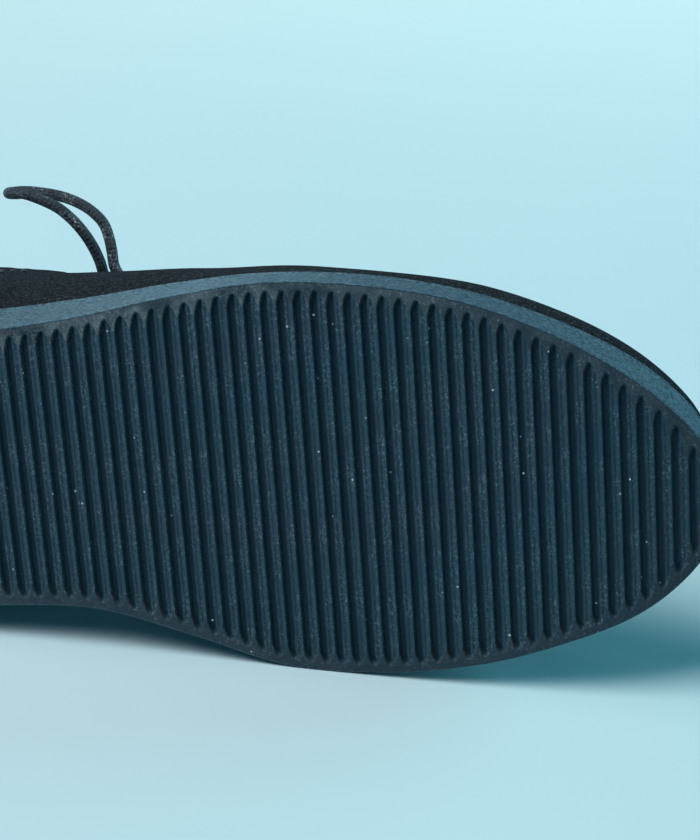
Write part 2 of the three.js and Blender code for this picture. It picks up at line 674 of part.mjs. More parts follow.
const resting = [
  addPiece("outsole", outsole(), rubber),
  addPiece("upper", upper(), suede),
  addPiece("insole", insole(), lining),
  addPiece("tongue", tongue(), suede),
  addPiece("collar_binding", binding(), suede),
  addPiece("facing_inner", facing(true), suede),
  addPiece("facing_outer", facing(false), suede),
];
for (let row = 0; row < EYELET_ROWS; row += 1) {
  resting.push(addPiece(`lace_bar_${row + 1}`, laceBar(row), cord));
}
addPiece("lace_knot", knot(), cord);
addPiece("lace_loop_outer", freeLace(OUTER_LOOP, 32), cord);
addPiece("lace_end_outer", freeLace(OUTER_END, 12), cord);
addPiece("aglet_outer", aglet(OUTER_END), film);
addPiece("lace_loop_inner", freeLace(INNER_LOOP, 28), cord);
addPiece("lace_end_inner", freeLace(INNER_END, 14), cord);
addPiece("aglet_inner", aglet(INNER_END), film);

// Volume and centre of a closed mesh
function volumeAndCentre(geometry) {
  const soup = geometry.index ? geometry.toNonIndexed() : geometry;
  const position = soup.attributes.position;
  const corners = [new THREE.Vector3(), new THREE.Vector3(), new THREE.Vector3()];
  const centre = new THREE.Vector3();
  let volume = 0;
  for (let i = 0; i < position.count; i += 3) {
    corners.forEach((corner, k) => corner.fromBufferAttribute(position, i + k));
    const [a, b, c] = corners;
    const share = a.dot(b.clone().cross(c)) / 6;
    volume += share;
    centre.addScaledVector(a, share / 4).addScaledVector(b, share / 4).addScaledVector(c, share / 4);
  }
  return { volume, centre: centre.divideScalar(volume) };
}

// The way down when the shoe lies on its inner side: the face of its hull, turned to that side,
// that its balance point stands over
function restingDown() {
  const balance = new THREE.Vector3();
  let total = 0;
  const points = [];
  for (const mesh of resting) {
    const { volume, centre } = volumeAndCentre(mesh.geometry);
    balance.addScaledVector(centre, volume);
    total += volume;
    const position = mesh.geometry.attributes.position;
    for (let i = 0; i < position.count; i += 1) points.push(new THREE.Vector3().fromBufferAttribute(position, i));
  }
  balance.divideScalar(total);
  const hull = new ConvexHull().setFromPoints(points);
  const plane = new THREE.Plane();
  let down = new THREE.Vector3(0, 1, 0);
  let bestHeight = Infinity;
  for (const face of hull.faces) {
    if (face.normal.y < 0.8) continue;
    plane.setFromNormalAndCoplanarPoint(face.normal, face.midpoint);
    const height = -plane.distanceToPoint(balance);
    if (height < bestHeight) {
      bestHeight = height;
      down = face.normal.clone();
    }
  }
  return down;
}

// Lay the shoe down, toe along +X and tread towards -Y, then centre its box over the origin
const down = restingDown();
const toToe = new THREE.Vector3(1, 0, 0).addScaledVector(down, -down.x).normalize();
const away = toToe.clone().cross(down);
const lie = new THREE.Matrix4().makeBasis(toToe, away, down.clone().negate()).transpose();
shoe.quaternion.setFromRotationMatrix(lie);
shoe.updateMatrixWorld(true);
const box = new THREE.Box3();
for (const mesh of resting) box.expandByObject(mesh, true);
const centre = box.getCenter(new THREE.Vector3());
shoe.position.set(-centre.x, -centre.y, -box.min.z);

const group = new THREE.Group();
group.add(shoe);
group.updateMatrixWorld(true);

export default group;
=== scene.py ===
import json

import bpy
import numpy as np
from mathutils import Matrix


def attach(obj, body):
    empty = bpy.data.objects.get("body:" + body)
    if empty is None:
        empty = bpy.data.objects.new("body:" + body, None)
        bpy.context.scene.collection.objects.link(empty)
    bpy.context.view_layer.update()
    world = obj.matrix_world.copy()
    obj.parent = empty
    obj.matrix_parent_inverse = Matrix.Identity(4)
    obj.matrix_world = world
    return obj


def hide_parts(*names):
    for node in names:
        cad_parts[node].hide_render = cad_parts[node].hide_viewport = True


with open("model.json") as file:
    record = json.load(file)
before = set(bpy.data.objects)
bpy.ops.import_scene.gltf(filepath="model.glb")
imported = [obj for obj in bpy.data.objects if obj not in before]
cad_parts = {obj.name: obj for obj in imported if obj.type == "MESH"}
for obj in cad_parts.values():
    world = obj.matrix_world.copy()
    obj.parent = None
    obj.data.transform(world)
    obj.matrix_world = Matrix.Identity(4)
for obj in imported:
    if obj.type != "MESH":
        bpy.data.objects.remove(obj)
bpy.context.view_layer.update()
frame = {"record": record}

# Camera: it looks up at the tread from the front, at the photograph's angle to the shoe.
# Its place is given in the shoe's own frame, in millimetres: x from heel to toe, y towards the
# inner side, z from the tread up. Two ribs of the tread say where that frame lies in the row.
MM = 0.001
FIRST_GROOVE = 5.3
RIB_PITCH = 4.165
HEEL_RIB = FIRST_GROOVE + 9.5 * RIB_PITCH
CAMERA_AT = (304.0, -237.5, -582.2)
CAMERA_RIGHT = (0.9873, 0.0674, 0.1441)
CAMERA_DOWN = (-0.0118, 0.9344, -0.3561)
LENS = 108.0

mounts = {mount["name"]: mount for mount in frame["record"]["mounts"]}
heel_rib = np.array(mounts["tread_heel"]["pos_m"])
ball_rib = np.array(mounts["tread_ball"]["pos_m"])


def unit(vectors):
    """Each vector over its own length."""
    vectors = np.asarray(vectors, float)
    return vectors / np.maximum(np.linalg.norm(vectors, axis=-1, keepdims=True), 1e-12)


up = -unit(mounts["tread_ball"]["axis"])
inward = unit(np.cross(up, ball_rib - heel_rib))
shoe_axes = np.stack([np.cross(inward, up), inward, up])


def place(points):
    """Shoe millimetres to row metres: the heel rib's place plus each coordinate along its axis."""
    return heel_rib + MM * (np.asarray(points, float) - [HEEL_RIB, 0, 0]) @ shoe_axes


def add_object(name, data):
    """A new object in the scene that holds a mesh, a lamp or a camera."""
    made = bpy.data.objects.new(name, data)
    bpy.context.collection.objects.link(made)
    return made


def stand(made, at, side, away):
    """Puts a camera or lamp at a point, with its own right and its back along two directions."""
    turned = np.eye(4)
    turned[:3, :3] = np.stack([side, np.cross(away, side), away], axis=1)
    turned[:3, 3] = at
    made.matrix_world = Matrix(turned.tolist())


camera_data = bpy.data.cameras.new("camera")
camera_data.lens = LENS
camera_data.sensor_width = 36.0
camera_data.clip_end = 50.0
camera = add_object("camera", camera_data)
right = unit(CAMERA_RIGHT @ shoe_axes)
stand(camera, place(CAMERA_AT), right, unit(np.cross(right, -(CAMERA_DOWN @ shoe_axes))))
bpy.context.scene.camera = camera


# Free lace: one waxed round cord of cotton. It leaves the bow's knot as two loops and two ends.
# The outer loop stands over the collar and the outer end lies on its facing. The inner ones
# hang down behind.
LACE_DIAMETER = 3.2
AGLET_DIAMETER = 3.8
AGLET_LENGTH = 16.0
CLEARANCE = 0.3
CORD_SIDES = 16
SHARP_ANGLE = np.radians(40)
KNOT_AT = (137.4, 1.0, 94.4)
KNOT_HALF_SIZE = (4.6, 5.6, 4.2)
OUTER_LOOP = [
    (138.6, -5.2, 94.3), (137.2, -9.4, 95.6), (134.4, -15, 96.8), (129.8, -21, 96.6),
    (123.9, -24.9, 96.2), (121.7, -28.5, 96.6), (121.2, -32.8, 97.4), (120.4, -36.9, 98.6),
    (118.9, -40.7, 99.8), (115.6, -44.1, 100.8), (110.9, -46.9, 101.6), (105.3, -48.8, 102.1),
    (99.2, -49.9, 102.2), (96.9, -50.3, 101.7), (94.9, -50.7, 100.4), (93.6, -51.1, 98.4),
    (93.1, -51.6, 96.1), (93.6, -52.1, 93.8), (94.9, -52.5, 91.8), (96.9, -52.8, 90.5),
    (99.2, -52.9, 90), (107.9, -49, 90), (111.9, -45.5, 90.1), (115.1, -41.1, 90.6),
    (117.4, -36.2, 91.4), (118.6, -31.2, 92.8), (119, -26, 95), (121.6, -20.6, 98.4),
    (126, -13.9, 99.8), (130.5, -8.8, 98.4), (133.9, -4.8, 95.6),
]
OUTER_END = [
    (139.6, -3.4, 98.3), (145.3, -14.8, 94.7), (148, -21, 89.8), (151, -25.6, 83.3),
    (154.5, -28.3, 77.3), (159.5, -29.5, 73.2), (166.2, -29.2, 70.2), (173.2, -28, 68.1),
    (180, -26.7, 65.8),
]
INNER_LOOP = [
    (139.2, 6.9, 94.5), (138.7, 13, 96.8), (137.4, 20, 97.8), (135, 27.4, 98.6), (132, 33.8, 100.8),
    (128.8, 38.8, 104.2), (124.6, 41.4, 109), (119, 41, 113.6), (113, 40.3, 115.6), (107.6, 39.7, 113.4),
    (106, 39.6, 108.4), (109.4, 38.6, 103.8), (115, 34.6, 101), (120.6, 28.6, 99.6), (126, 21.6, 98.8),
    (131, 14.4, 98.2), (134.2, 6.9, 96.2),
]
INNER_END = [
    (137.6, 6, 98.7), (140.6, 12, 100.2), (144.4, 20, 100.8), (148.2, 27.6, 100.4), (151.4, 34.8, 101.4),
    (154, 40.8, 104.4), (156, 44.4, 109.4), (157.8, 45.2, 115.4), (159.4, 45.2, 121.4),
]


def curve_through(knots, values, at):
    """A smooth curve through a table: a cubic between neighbours, whose slope at each knot is the
    mean of the straight slopes beside it, each weighted by the other's length."""
    step = np.diff(knots)
    rate = np.diff(values) / step
    inner = (rate[:-1] * step[1:] + rate[1:] * step[:-1]) / (step[1:] + step[:-1])
    slope = np.concatenate([rate[:1], inner, rate[-1:]])
    i = np.clip(np.searchsorted(knots, at, side="right") - 1, 0, len(step) - 1)
    u = np.clip((at - knots[i]) / step[i], 0, 1)
    start = (1 + 2 * u) * (1 - u) ** 2 * values[i] + u * (1 - u) ** 2 * step[i] * slope[i]
    end = u * u * (3 - 2 * u) * values[i + 1] + u * u * (u - 1) * step[i] * slope[i + 1]
    return start + end


def lengths_along(path):
    """The length from the start of a path to each of its points."""
    return np.concatenate([[0], np.cumsum(np.linalg.norm(np.diff(path, axis=0), axis=1))])


def read_at(at, along, values):
    """Rows of three numbers that belong to some lengths, read at other lengths."""
    return np.stack([np.interp(at, along, values[:, k]) for k in range(3)], axis=1)


def smooth_path(points, count):
    """A centripetal curve through given points, sampled at even lengths."""
    points = np.asarray(points, float)
    steps = np.linalg.norm(np.diff(points, axis=0), axis=1)
    knots = np.concatenate([[0], np.cumsum(np.sqrt(steps))])
    at = np.linspace(0, knots[-1], 20 * count)
    fine = np.stack([curve_through(knots, points[:, k], at) for k in range(3)], axis=1)
    along = lengths_along(fine)
    return read_at(np.linspace(0, along[-1], count), along, fine)


def rings(path, side, other, radius, sides):
    """A ring of points round each point of a path, in the plane of two directions."""
    turn = np.linspace(0, 2 * np.pi, sides, endpoint=False)[None, :, None]
    radius = np.broadcast_to(np.asarray(radius, float).reshape(-1, 1, 1), (len(path), 1, 1))
    return path[:, None] + radius * (np.cos(turn) * side[:, None] + np.sin(turn) * other[:, None])


def tube_grid(path, radius, sides):
    """Rings square to a path: the first ring's two directions are carried along by taking out
    the part that lies along the path. Rows follow the path."""
    ahead = unit(np.gradient(path, axis=0))
    side = np.zeros_like(path)
    side[0] = unit(np.cross(ahead[0], np.eye(3)[np.argmin(np.abs(ahead[0]))]))
    for i in range(1, len(path)):
        side[i] = unit(side[i - 1] - ahead[i] * (side[i - 1] @ ahead[i]))
    return rings(path, side, np.cross(ahead, side), radius, sides)


def grid_faces(rows, columns, wrap_rows=False, wrap_columns=False, first=0):
    """Four-sided faces between neighbouring rows and columns of a grid of points."""
    i = np.arange(rows if wrap_rows else rows - 1)[:, None]
    j = np.arange(columns if wrap_columns else columns - 1)[None, :]
    i2, j2 = (i + 1) % rows, (j + 1) % columns
    corners = [i * columns + j, i * columns + j2, i2 * columns + j2, i2 * columns + j]
    return first + np.stack(np.broadcast_arrays(*corners), axis=-1).reshape(-1, 4)


def tube_faces(rows, sides, first=0):
    """The faces of a tube of rings, with one flat face on each end."""
    near = list(range(first, first + sides))
    far = [corner + (rows - 1) * sides for corner in near]
    return grid_faces(rows, sides, wrap_columns=True, first=first).tolist() + [near[::-1], far]


def new_piece(name, points, faces, finishes, inside=0, uv=None):
    """A mesh from points in the shoe's frame and a list of faces. The last faces, as many as
    inside says, take the second finish. Edges sharper than 40 degrees stay sharp."""
    mesh = bpy.data.meshes.new(name)
    mesh.from_pydata(place(np.reshape(points, (-1, 3))).tolist(), [], faces)
    for finish in finishes:
        mesh.materials.append(finish)
    if inside:
        slots = np.zeros(len(mesh.polygons), int)
        slots[-inside:] = 1
        mesh.polygons.foreach_set("material_index", slots)
    if uv is not None:
        corner = np.zeros(len(mesh.loops), int)
        mesh.loops.foreach_get("vertex_index", corner)
        mesh.uv_layers.new(name="lay").data.foreach_set("uv", np.reshape(uv, (-1, 2))[corner].ravel())
    mesh.polygons.foreach_set("use_smooth", np.ones(len(mesh.polygons), bool))
    mesh.set_sharp_from_angle(angle=SHARP_ANGLE)
    mesh.validate()
    piece = add_object(name, mesh)
    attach(piece, "root")
    return piece


def cord_map(along, sides):
    """A map of a cord: millimetres along it, and the share of a turn round it."""
    return np.stack(np.broadcast_arrays(along[:, None], np.arange(sides)[None, :] / sides), axis=-1)


def tube_piece(name, path, radius, sides, finish):
    """A tube along a path with flat ends."""
    points, faces = tube_grid(path, radius, sides), tube_faces(len(path), sides)
    return new_piece(name, points, faces, [finish], uv=cord_map(lengths_along(path), sides))


class Value:
    """One number or colour inside a finish. Sums and products of it add Math nodes."""

    def __init__(self, finish, socket):
        self.finish = finish
        self.socket = socket

    def math(self, operation, first, second=0.0):
        return self.finish.node("ShaderNodeMath", {"operation": operation}, {0: first, 1: second})

    def __add__(self, other):
        return self.math("ADD", self, other)

    def __sub__(self, other):
        return self.math("SUBTRACT", self, other)

    def __rsub__(self, other):
        return self.math("SUBTRACT", other, self)

    def __mul__(self, other):
        return self.math("MULTIPLY", self, other)

    __radd__ = __add__
    __rmul__ = __mul__

    def sine(self):
        return self.math("SINE", self)

    def between(self, low, high):
        """0 below low, 1 above high, and a smooth step in between."""
        settings = {"interpolation_type": "SMOOTHSTEP"}
        return self.finish.node("ShaderNodeMapRange", settings, {0: self, 1: low, 2: high})


class Finish:
    """The node material of one surface. node() adds any node: its settings first, then its
    sockets, each a plain value or a link."""

    def __init__(self, name):
        self.material = bpy.data.materials.new(name)
        self.material.use_nodes = True
        self.tree = self.material.node_tree
        self.tree.nodes.clear()

    def node(self, kind, settings=None, sockets=None, output=0):
        node = self.tree.nodes.new(kind)
        for key, value in (settings or {}).items():
            setattr(node, key, value)
        for key, value in (sockets or {}).items():
            if isinstance(value, Value):
                self.tree.links.new(value.socket, node.inputs[key])
            else:
                node.inputs[key].default_value = value
        return Value(self, node.outputs[output])

    def place(self):
        return self.node("ShaderNodeTexCoord", output="Object")

    def stretched(self, scale):
        """Object coordinates scaled along each axis."""
        return self.node("ShaderNodeMapping", None, {"Vector": self.place(), "Scale": scale})

    def noise(self, scale, detail=2.0, where=None, roughness=0.5):
        sockets = {"Vector": where or self.place(), "Scale": scale}
        sockets.update({"Detail": detail, "Roughness": roughness})
        return self.node("ShaderNodeTexNoise", None, sockets)

    def lay(self):
        """The piece's own map, split into its two numbers."""
        uv = self.node("ShaderNodeUVMap", {"uv_map": "lay"})
        parts = self.node("ShaderNodeSeparateXYZ", None, {0: uv})
        return parts, Value(self, parts.socket.node.outputs[1])

    def kept(self, name):
        """A number kept at each point of the mesh."""
        return self.node("ShaderNodeAttribute", {"attribute_name": name}, output="Fac")

    def mix(self, share, first, second):
        sockets = {0: share, 6: first, 7: second}
        return self.node("ShaderNodeMix", {"data_type": "RGBA"}, sockets, output=2)

    def bump(self, height, distance):
        """A normal from a height: the height in units of distance, in metres."""
        sockets = {"Strength": 1.0, "Distance": distance, "Height": height}
        return self.node("ShaderNodeBump", None, sockets)

    def cover(self, **sockets):
        """Closes the material with one surface, whose sockets are named with underscores."""
        named = {key.replace("_", " "): value for key, value in sockets.items()}
        shader = self.node("ShaderNodeBsdfPrincipled", None, named)
        end = self.tree.nodes.new("ShaderNodeOutputMaterial")
        self.tree.links.new(shader.socket, end.inputs["Surface"])
        return self.material


def tone(red, green, blue):
    """A colour given as three screen numbers from 0 to 255, made linear."""
    screen = np.array([red, green, blue]) / 255
    linear = np.where(screen <= 0.04045, screen / 12.92, ((screen + 0.055) / 1.055) ** 2.4)
    return (*linear.tolist(), 1.0)


# Lace cord: dark navy cotton, braided and waxed. The braid shows as fine slanted cells, and the
# wax has short glossy patches; pale flecks on top of them are painted glints of the wax.
CORD_DARK = tone(12, 28, 38)
CORD_LIGHT = tone(36, 64, 79)
WAX_GLINT_TONE = tone(176, 200, 208)
BRAID_PITCH = 2.6
BRAID_STRANDS = 6

cord = Finish("waxed_cord")
along, around = cord.lay()
climb = along * (2 * np.pi / BRAID_PITCH)
wind = around * (2 * np.pi * BRAID_STRANDS)
cells = (climb + wind).sine() * (climb - wind).sine()
# Painted highlights: pale flecks that stand in for the wax's glints, denser in the glossy patches
painted_glint = cord.noise(1700.0, 3.0, roughness=0.7).between(0.52, 0.64)
patch = cord.noise(240.0, 2.0).between(0.42, 0.6)
crazed = cord.noise(700.0, 4.0, roughness=0.7).between(0.36, 0.64)
braid = cord.mix(cells.between(-0.9, 0.9) * 0.35 + crazed * 0.5, CORD_DARK, CORD_LIGHT)
waxed_cord = cord.cover(
    Base_Color=cord.mix(painted_glint * (0.08 + patch * 0.6), braid, WAX_GLINT_TONE),
    Roughness=0.66 - patch * 0.22,
    Normal=cord.bump(cells * 0.7 + crazed * 1.2 + painted_glint, 0.0002),
)

# Knot: a trefoil curve that fills the solid knot's box, and six short roots out of it, one into
# each start or end of a loop and each start of a free end.
KNOT_STEPS = 140
KNOT_SIDES = 14
KNOT_MAP_STEP = 0.5
KNOT_SHARE_OF_BOX = (1.0, 0.98, 0.9)
ROOT_STEPS = 12
ROOT_RADIUS = 0.485 * LACE_DIAMETER
ROOT_START = 0.4
ROOT_PAST_START = 1.2

knot_turn = np.linspace(0, 2 * np.pi, KNOT_STEPS, endpoint=False)
knot_line = np.stack([
    (np.sin(knot_turn) + 2 * np.sin(2 * knot_turn)) / 3,
    (np.cos(knot_turn) - 2 * np.cos(2 * knot_turn)) / 3,
    -np.sin(3 * knot_turn),
], axis=1)
knot_line = knot_line * (np.array(KNOT_HALF_SIZE) - LACE_DIAMETER / 2) * KNOT_SHARE_OF_BOX + KNOT_AT
knot_ahead = unit(np.roll(knot_line, -1, axis=0) - np.roll(knot_line, 1, axis=0))
knot_side = unit(np.cross(knot_ahead, (0.0, 0.0, 1.0)))
knot_other = np.cross(knot_ahead, knot_side)
knot_parts = [rings(knot_line, knot_side, knot_other, LACE_DIAMETER / 2, KNOT_SIDES)]
knot_faces = grid_faces(KNOT_STEPS, KNOT_SIDES, wrap_rows=True, wrap_columns=True).tolist()
knot_map = cord_map(np.arange(KNOT_STEPS) * KNOT_MAP_STEP, KNOT_SIDES)

roots = [line[:2] for line in (OUTER_LOOP, OUTER_END, INNER_LOOP, INNER_END)]
roots += [line[:-3:-1] for line in (OUTER_LOOP, INNER_LOOP)]
for number, (first, second) in enumerate(roots):
    inner = np.array(KNOT_AT) + ROOT_START * np.subtract(first, KNOT_AT)
    tip = np.array(first) + ROOT_PAST_START * unit(np.subtract(second, first))
    root_line = smooth_path([inner, first, tip], ROOT_STEPS)
    knot_parts.append(tube_grid(root_line, ROOT_RADIUS, KNOT_SIDES))
    start = (KNOT_STEPS + ROOT_STEPS * number) * KNOT_SIDES
    knot_faces += tube_faces(ROOT_STEPS, KNOT_SIDES, start)
knot_maps = np.concatenate([knot_map] + [knot_map[:ROOT_STEPS]] * len(roots))
knot = new_piece("knot_of_the_bow", np.concatenate(knot_parts), knot_faces, [waxed_cord], uv=knot_maps)
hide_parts("lace_knot")

# Aglets: a sleeve of thin clear film rolled tight over each lace's tip, with the dark cord
# showing through it, ironed to a round end.
FILM = tone(150, 168, 174)
FILM_DARK = tone(58, 70, 78)

film = Finish("clear_film")
along, around = film.lay()
rolled = film.noise(500.0, 3.0).between(0.35, 0.7)
stripe = (around * (4 * np.pi) + rolled * 1.5).sine().between(-0.2, 0.7)
clear_film = film.cover(
    Base_Color=film.mix(stripe, FILM_DARK, FILM),
    Roughness=0.22 + rolled * 0.12,
    Coat_Weight=0.6,
    Normal=film.bump(rolled, 0.0001),
)


def aglet_piece(name, end_points):
    """A sleeve in line with the cord's last stretch: its radius swells a little over the first
    tenth, stays even, and closes over the last tenth as a quarter circle."""
    before, end = np.array(end_points[-2]), np.array(end_points[-1])
    ahead = unit(end - before)
    last_tenth = 0.9 + 0.1 * np.sin(np.linspace(0, np.pi / 2, 9))
    share = np.concatenate([np.linspace(0, 0.9, 24), last_tenth[1:]])
    path = end + ahead * (CLEARANCE + AGLET_LENGTH * share)[:, None]
    closing = np.sqrt(np.clip(1 - (np.clip(share - 0.9, 0, 1) / 0.1001) ** 2, 0.002, 1))
    swell = 0.94 + 0.06 * np.clip(share / 0.1, 0, 1)
    return tube_piece(name, path, AGLET_DIAMETER / 2 * closing * swell, 20, clear_film)


def free_lace(name, node, points, count):
    """One free stretch of lace along given points."""
    path = smooth_path(points, count)
    piece = tube_piece(name, path, LACE_DIAMETER / 2, CORD_SIDES, waxed_cord)
    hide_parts(node)


for side, end_points, length in (("outer", OUTER_END, 66.3), ("inner", INNER_END, 58.6)):
    sleeve = aglet_piece(f"aglet_{side}_film", end_points)
    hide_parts(f"aglet_{side}")
    free_lace(f"lace_end_{side}_cord", f"lace_end_{side}", end_points, 70)
free_lace("lace_loop_outer_cord", "lace_loop_outer", OUTER_LOOP, 180)
free_lace("lace_loop_inner_cord", "lace_loop_inner", INNER_LOOP, 150)


# Outsole: one moulded wedge of dark blue-grey foam rubber. The tread has a flat rim all round and
# straight ribs across it, each a slanted step with a soft crown behind its crest. The grooves
# end in pointed arches short of the rim, and their deeper points are coloured darker as painted shade.
# The side is smooth and has a thin lip on top; its colour carries painted light, lighter a little
# behind the middle and darker towards the toe.
SOLE_LENGTH = 298.0
BALL_WIDTH = 107.0
HEEL_THICKNESS = 27.0
BALL_THICKNESS = 11.0
TOE_SPRING = 10.0
TREAD_RIM = 2.0
GROOVE_DEPTH = 1.5
ARCH_LENGTH = 3.6
SOLE_EDGE_ROUNDING = 0.45
LIP_DEPTH = 0.25
# share of the length; inner edge, outer edge and lean of the side, as shares of the ball width
SOLE_OUTLINE = np.array([
    (0.0, -0.02, -0.02, -0.004), (0.02, 0.16, -0.195, -0.004), (0.05, 0.252, -0.283, -0.004),
    (0.1, 0.318, -0.348, -0.004), (0.168, 0.346, -0.374, -0.004), (0.268, 0.333, -0.382, -0.005),
    (0.359, 0.32, -0.39, -0.006), (0.45, 0.331, -0.421, -0.004), (0.537, 0.407, -0.469, -0.01),
    (0.611, 0.48, -0.498, -0.014), (0.695, 0.5, -0.49, -0.009), (0.782, 0.479, -0.445, -0.007),
    (0.861, 0.422, -0.352, 0.001), (0.921, 0.359, -0.238, 0.011), (0.963, 0.273, -0.12, 0.009),
    (0.987, 0.185, -0.015, 0.0), (1.0, 0.075, 0.075, -0.002),
])
# share of the length, share of the heel's extra thickness, share of the toe spring
SOLE_SIDE = np.array([
    (0.0, 1.0, 0.0), (0.2, 0.88, 0.0), (0.37, 0.56, 0.0), (0.54, 0.25, 0.0), (0.67, 0.03, 0.0),
    (0.79, 0.0, 0.0), (0.86, 0.0, 0.09), (0.93, 0.0, 0.41), (1.0, 0.0, 1.0),
])
# phase in one rib pitch, from the foot of a steep wall towards the toe, and depth as a share
RIB_SECTION = np.array([
    (0.0, 0.9), (0.05, 1.0), (0.24, 1.0), (0.32, 0.84), (0.4, 0.42), (0.47, 0.2), (0.54, 0.16),
    (0.62, 0.3), (0.69, 0.26), (0.78, 0.04), (0.85, 0.0), (0.92, 0.04), (0.965, 0.4), (1.0, 0.9),
])
GROOVE_MIDDLE = 0.18
TIP_REACH = 1.5
STATIONS_IN_RIB = 14


def angle_of(share):
    """The angle from 0 to pi that a share of a length stands for, on a half circle over it."""
    return np.arccos(1 - 2 * np.clip(share, 0, 1))


def from_table(table, column, share):
    """A column of a table over the bare share of the length."""
    return curve_through(table[:, 0], table[:, column], np.clip(share, 0, 1))


def from_round_table(table, column, angle):
    """A column of a table over that angle, so that the curve has round ends."""
    return curve_through(angle_of(table[:, 0]), table[:, column], angle)


def outline(turn):
    """The tread's outline in plan. The turn goes from the toe (0) along the inner side to the
    heel (pi) and back along the outer side."""
    turn = np.asarray(turn, float) % (2 * np.pi)
    angle = np.abs(np.pi - turn)
    inner = from_round_table(SOLE_OUTLINE, 1, angle)
    outer = from_round_table(SOLE_OUTLINE, 2, angle)
    y = BALL_WIDTH * np.where(turn <= np.pi, inner, outer)
    return np.stack([SOLE_LENGTH * (1 - np.cos(angle)) / 2, y], axis=-1)


def outline_normal(turn):
    """The outline's outward direction: its own direction, turned by a right angle."""
    ahead = outline(turn + 1e-3) - outline(turn - 1e-3)
    return unit(np.stack([ahead[..., 1], -ahead[..., 0]], axis=-1))


def tread_height(x):
    return TOE_SPRING * from_table(SOLE_SIDE, 2, x / SOLE_LENGTH)


def sole_top(x):
    extra = (HEEL_THICKNESS - BALL_THICKNESS) * from_table(SOLE_SIDE, 1, x / SOLE_LENGTH)
    return tread_height(x) + BALL_THICKNESS + extra


def sole_top_edge(turn, grow):
    """The upper edge of the sole's side in plan, moved out by a distance."""
    angle = np.abs(np.pi - np.asarray(turn, float) % (2 * np.pi))
    lean = BALL_WIDTH * from_round_table(SOLE_OUTLINE, 3, angle)
    return outline(turn) + outline_normal(turn) * (lean + grow)[..., None]


def smooth_step(low, high, value):
    u = np.clip((value - low) / (high - low), 0, 1)
    return u * u * (3 - 2 * u)


near_tip = TIP_REACH * np.linspace(0, 1, 14)[:-1] ** 2 + 0.002
between_tips = np.arange(TIP_REACH, SOLE_LENGTH - TIP_REACH, RIB_PITCH / STATIONS_IN_RIB)
stations = np.concatenate([near_tip, between_tips, SOLE_LENGTH - near_tip[::-1]])
station_angle = angle_of(stations / SOLE_LENGTH)
border = outline(np.linspace(0, 2 * np.pi, 1200, endpoint=False))
inset = np.array([0.45, 0.9, 1.4, 1.8, 2.1, 2.4, 2.7, 3.0, 3.4, 3.8, 4.3, 4.8, 5.4, 6.1, 7.0, 8.2])

# Columns of the tread: steps in from each edge, and even ones across the middle
edge_turns = [np.pi + station_angle, np.pi - station_angle]
edges = [outline(turn) for turn in edge_turns]
normals = [outline_normal(turn) for turn in edge_turns]
half_width = (edges[1][:, 1] - edges[0][:, 1]) / 2
columns = []
for edge, normal, way in ((edges[0], normals[0], 1), (edges[1], normals[1], -1)):
    reach = inset[None, :] / np.maximum(np.abs(normal[:, 1:]), 0.05)
    reach *= np.minimum(1, 0.9 * half_width / reach[:, -1])[:, None]
    columns.append(edge[:, 1:] + way * reach)
across = np.linspace(0, 1, 12)[None, 1:-1]
middle = columns[0][:, -1:] * (1 - across) + columns[1][:, -1:] * across
tread_y = np.concatenate([columns[0], middle, columns[1][:, ::-1]], axis=1)
tread_x = np.broadcast_to(stations[:, None], tread_y.shape)
from_edge = np.empty(tread_y.shape)
for rows in np.array_split(np.arange(len(stations)), 12):
    gap = np.stack([tread_x[rows], tread_y[rows]], axis=-1)[:, :, None] - border[None, None]
    from_edge[rows] = np.linalg.norm(gap, axis=-1).min(axis=-1)

phase = ((tread_x - FIRST_GROOVE) / RIB_PITCH + GROOVE_MIDDLE) % 1.0
section_depth = np.interp(phase, RIB_SECTION[:, 0], RIB_SECTION[:, 1])
arch = ARCH_LENGTH * np.clip(np.abs((phase + 0.08) % 1.0 - 0.44) / 0.44, 0, 1) ** 2.2
opened = smooth_step(0.0, 0.9, from_edge - TREAD_RIM - arch)
depth = GROOVE_DEPTH * section_depth * opened
tread = np.stack([tread_x, tread_y, tread_height(tread_x) + depth], axis=-1)

# Side of the sole: share of its height, millimetres more, and how far it stands out
side_rise = np.array([0.0, 0.0, 0.08, 0.3, 0.55, 0.8, 0.92, 0.96, 1.0])
side_lift = np.array([0.12, SOLE_EDGE_ROUNDING, 0.1, 0.0, 0.0, 0.0, 0.0, 0.0, 0.0])
side_out = np.array([-0.12, 0.0, 0.03, 0.0, -0.05, -0.04, 0.0, LIP_DEPTH, 0.0])


def sole_side(turn):
    """One side of the sole at each station: it leans out from the tread's edge to the top edge."""
    x = outline(turn)[:, 0]
    low, high = tread_height(x), sole_top(x)
    tread_edge, top_edge = outline(turn), sole_top_edge(turn, 0.0)
    plan = tread_edge[:, None] + (top_edge - tread_edge)[:, None] * side_rise[None, :, None]
    plan = plan + outline_normal(turn)[:, None] * side_out[None, :, None]
    z = low[:, None] + (high - low)[:, None] * side_rise[None, :] + side_lift[None, :]
    return np.concatenate([plan, z[..., None]], axis=-1)


outer_side = sole_side(edge_turns[0])
inner_side = sole_side(edge_turns[1])
sole_grid = np.concatenate([outer_side[:, ::-1], tread, inner_side], axis=1)
below_floor = np.minimum(place(sole_grid)[..., 2:] / MM, 0)
sole_grid = sole_grid - below_floor * shoe_axes[:, 2]


def keep_on_mesh(piece, name, values):
    """Keeps one number for each point of the mesh, for its finish to read."""
    layer = piece.data.attributes.new(name, "FLOAT", "POINT")
    layer.data.foreach_set("value", np.asarray(values, float).ravel())


def on_tread(values, elsewhere):
    """Numbers of the tread's grid, with one value on the sides."""
    pad = np.full((len(values), len(side_rise)), float(elsewhere))
    return np.concatenate([pad, values, pad], axis=1)
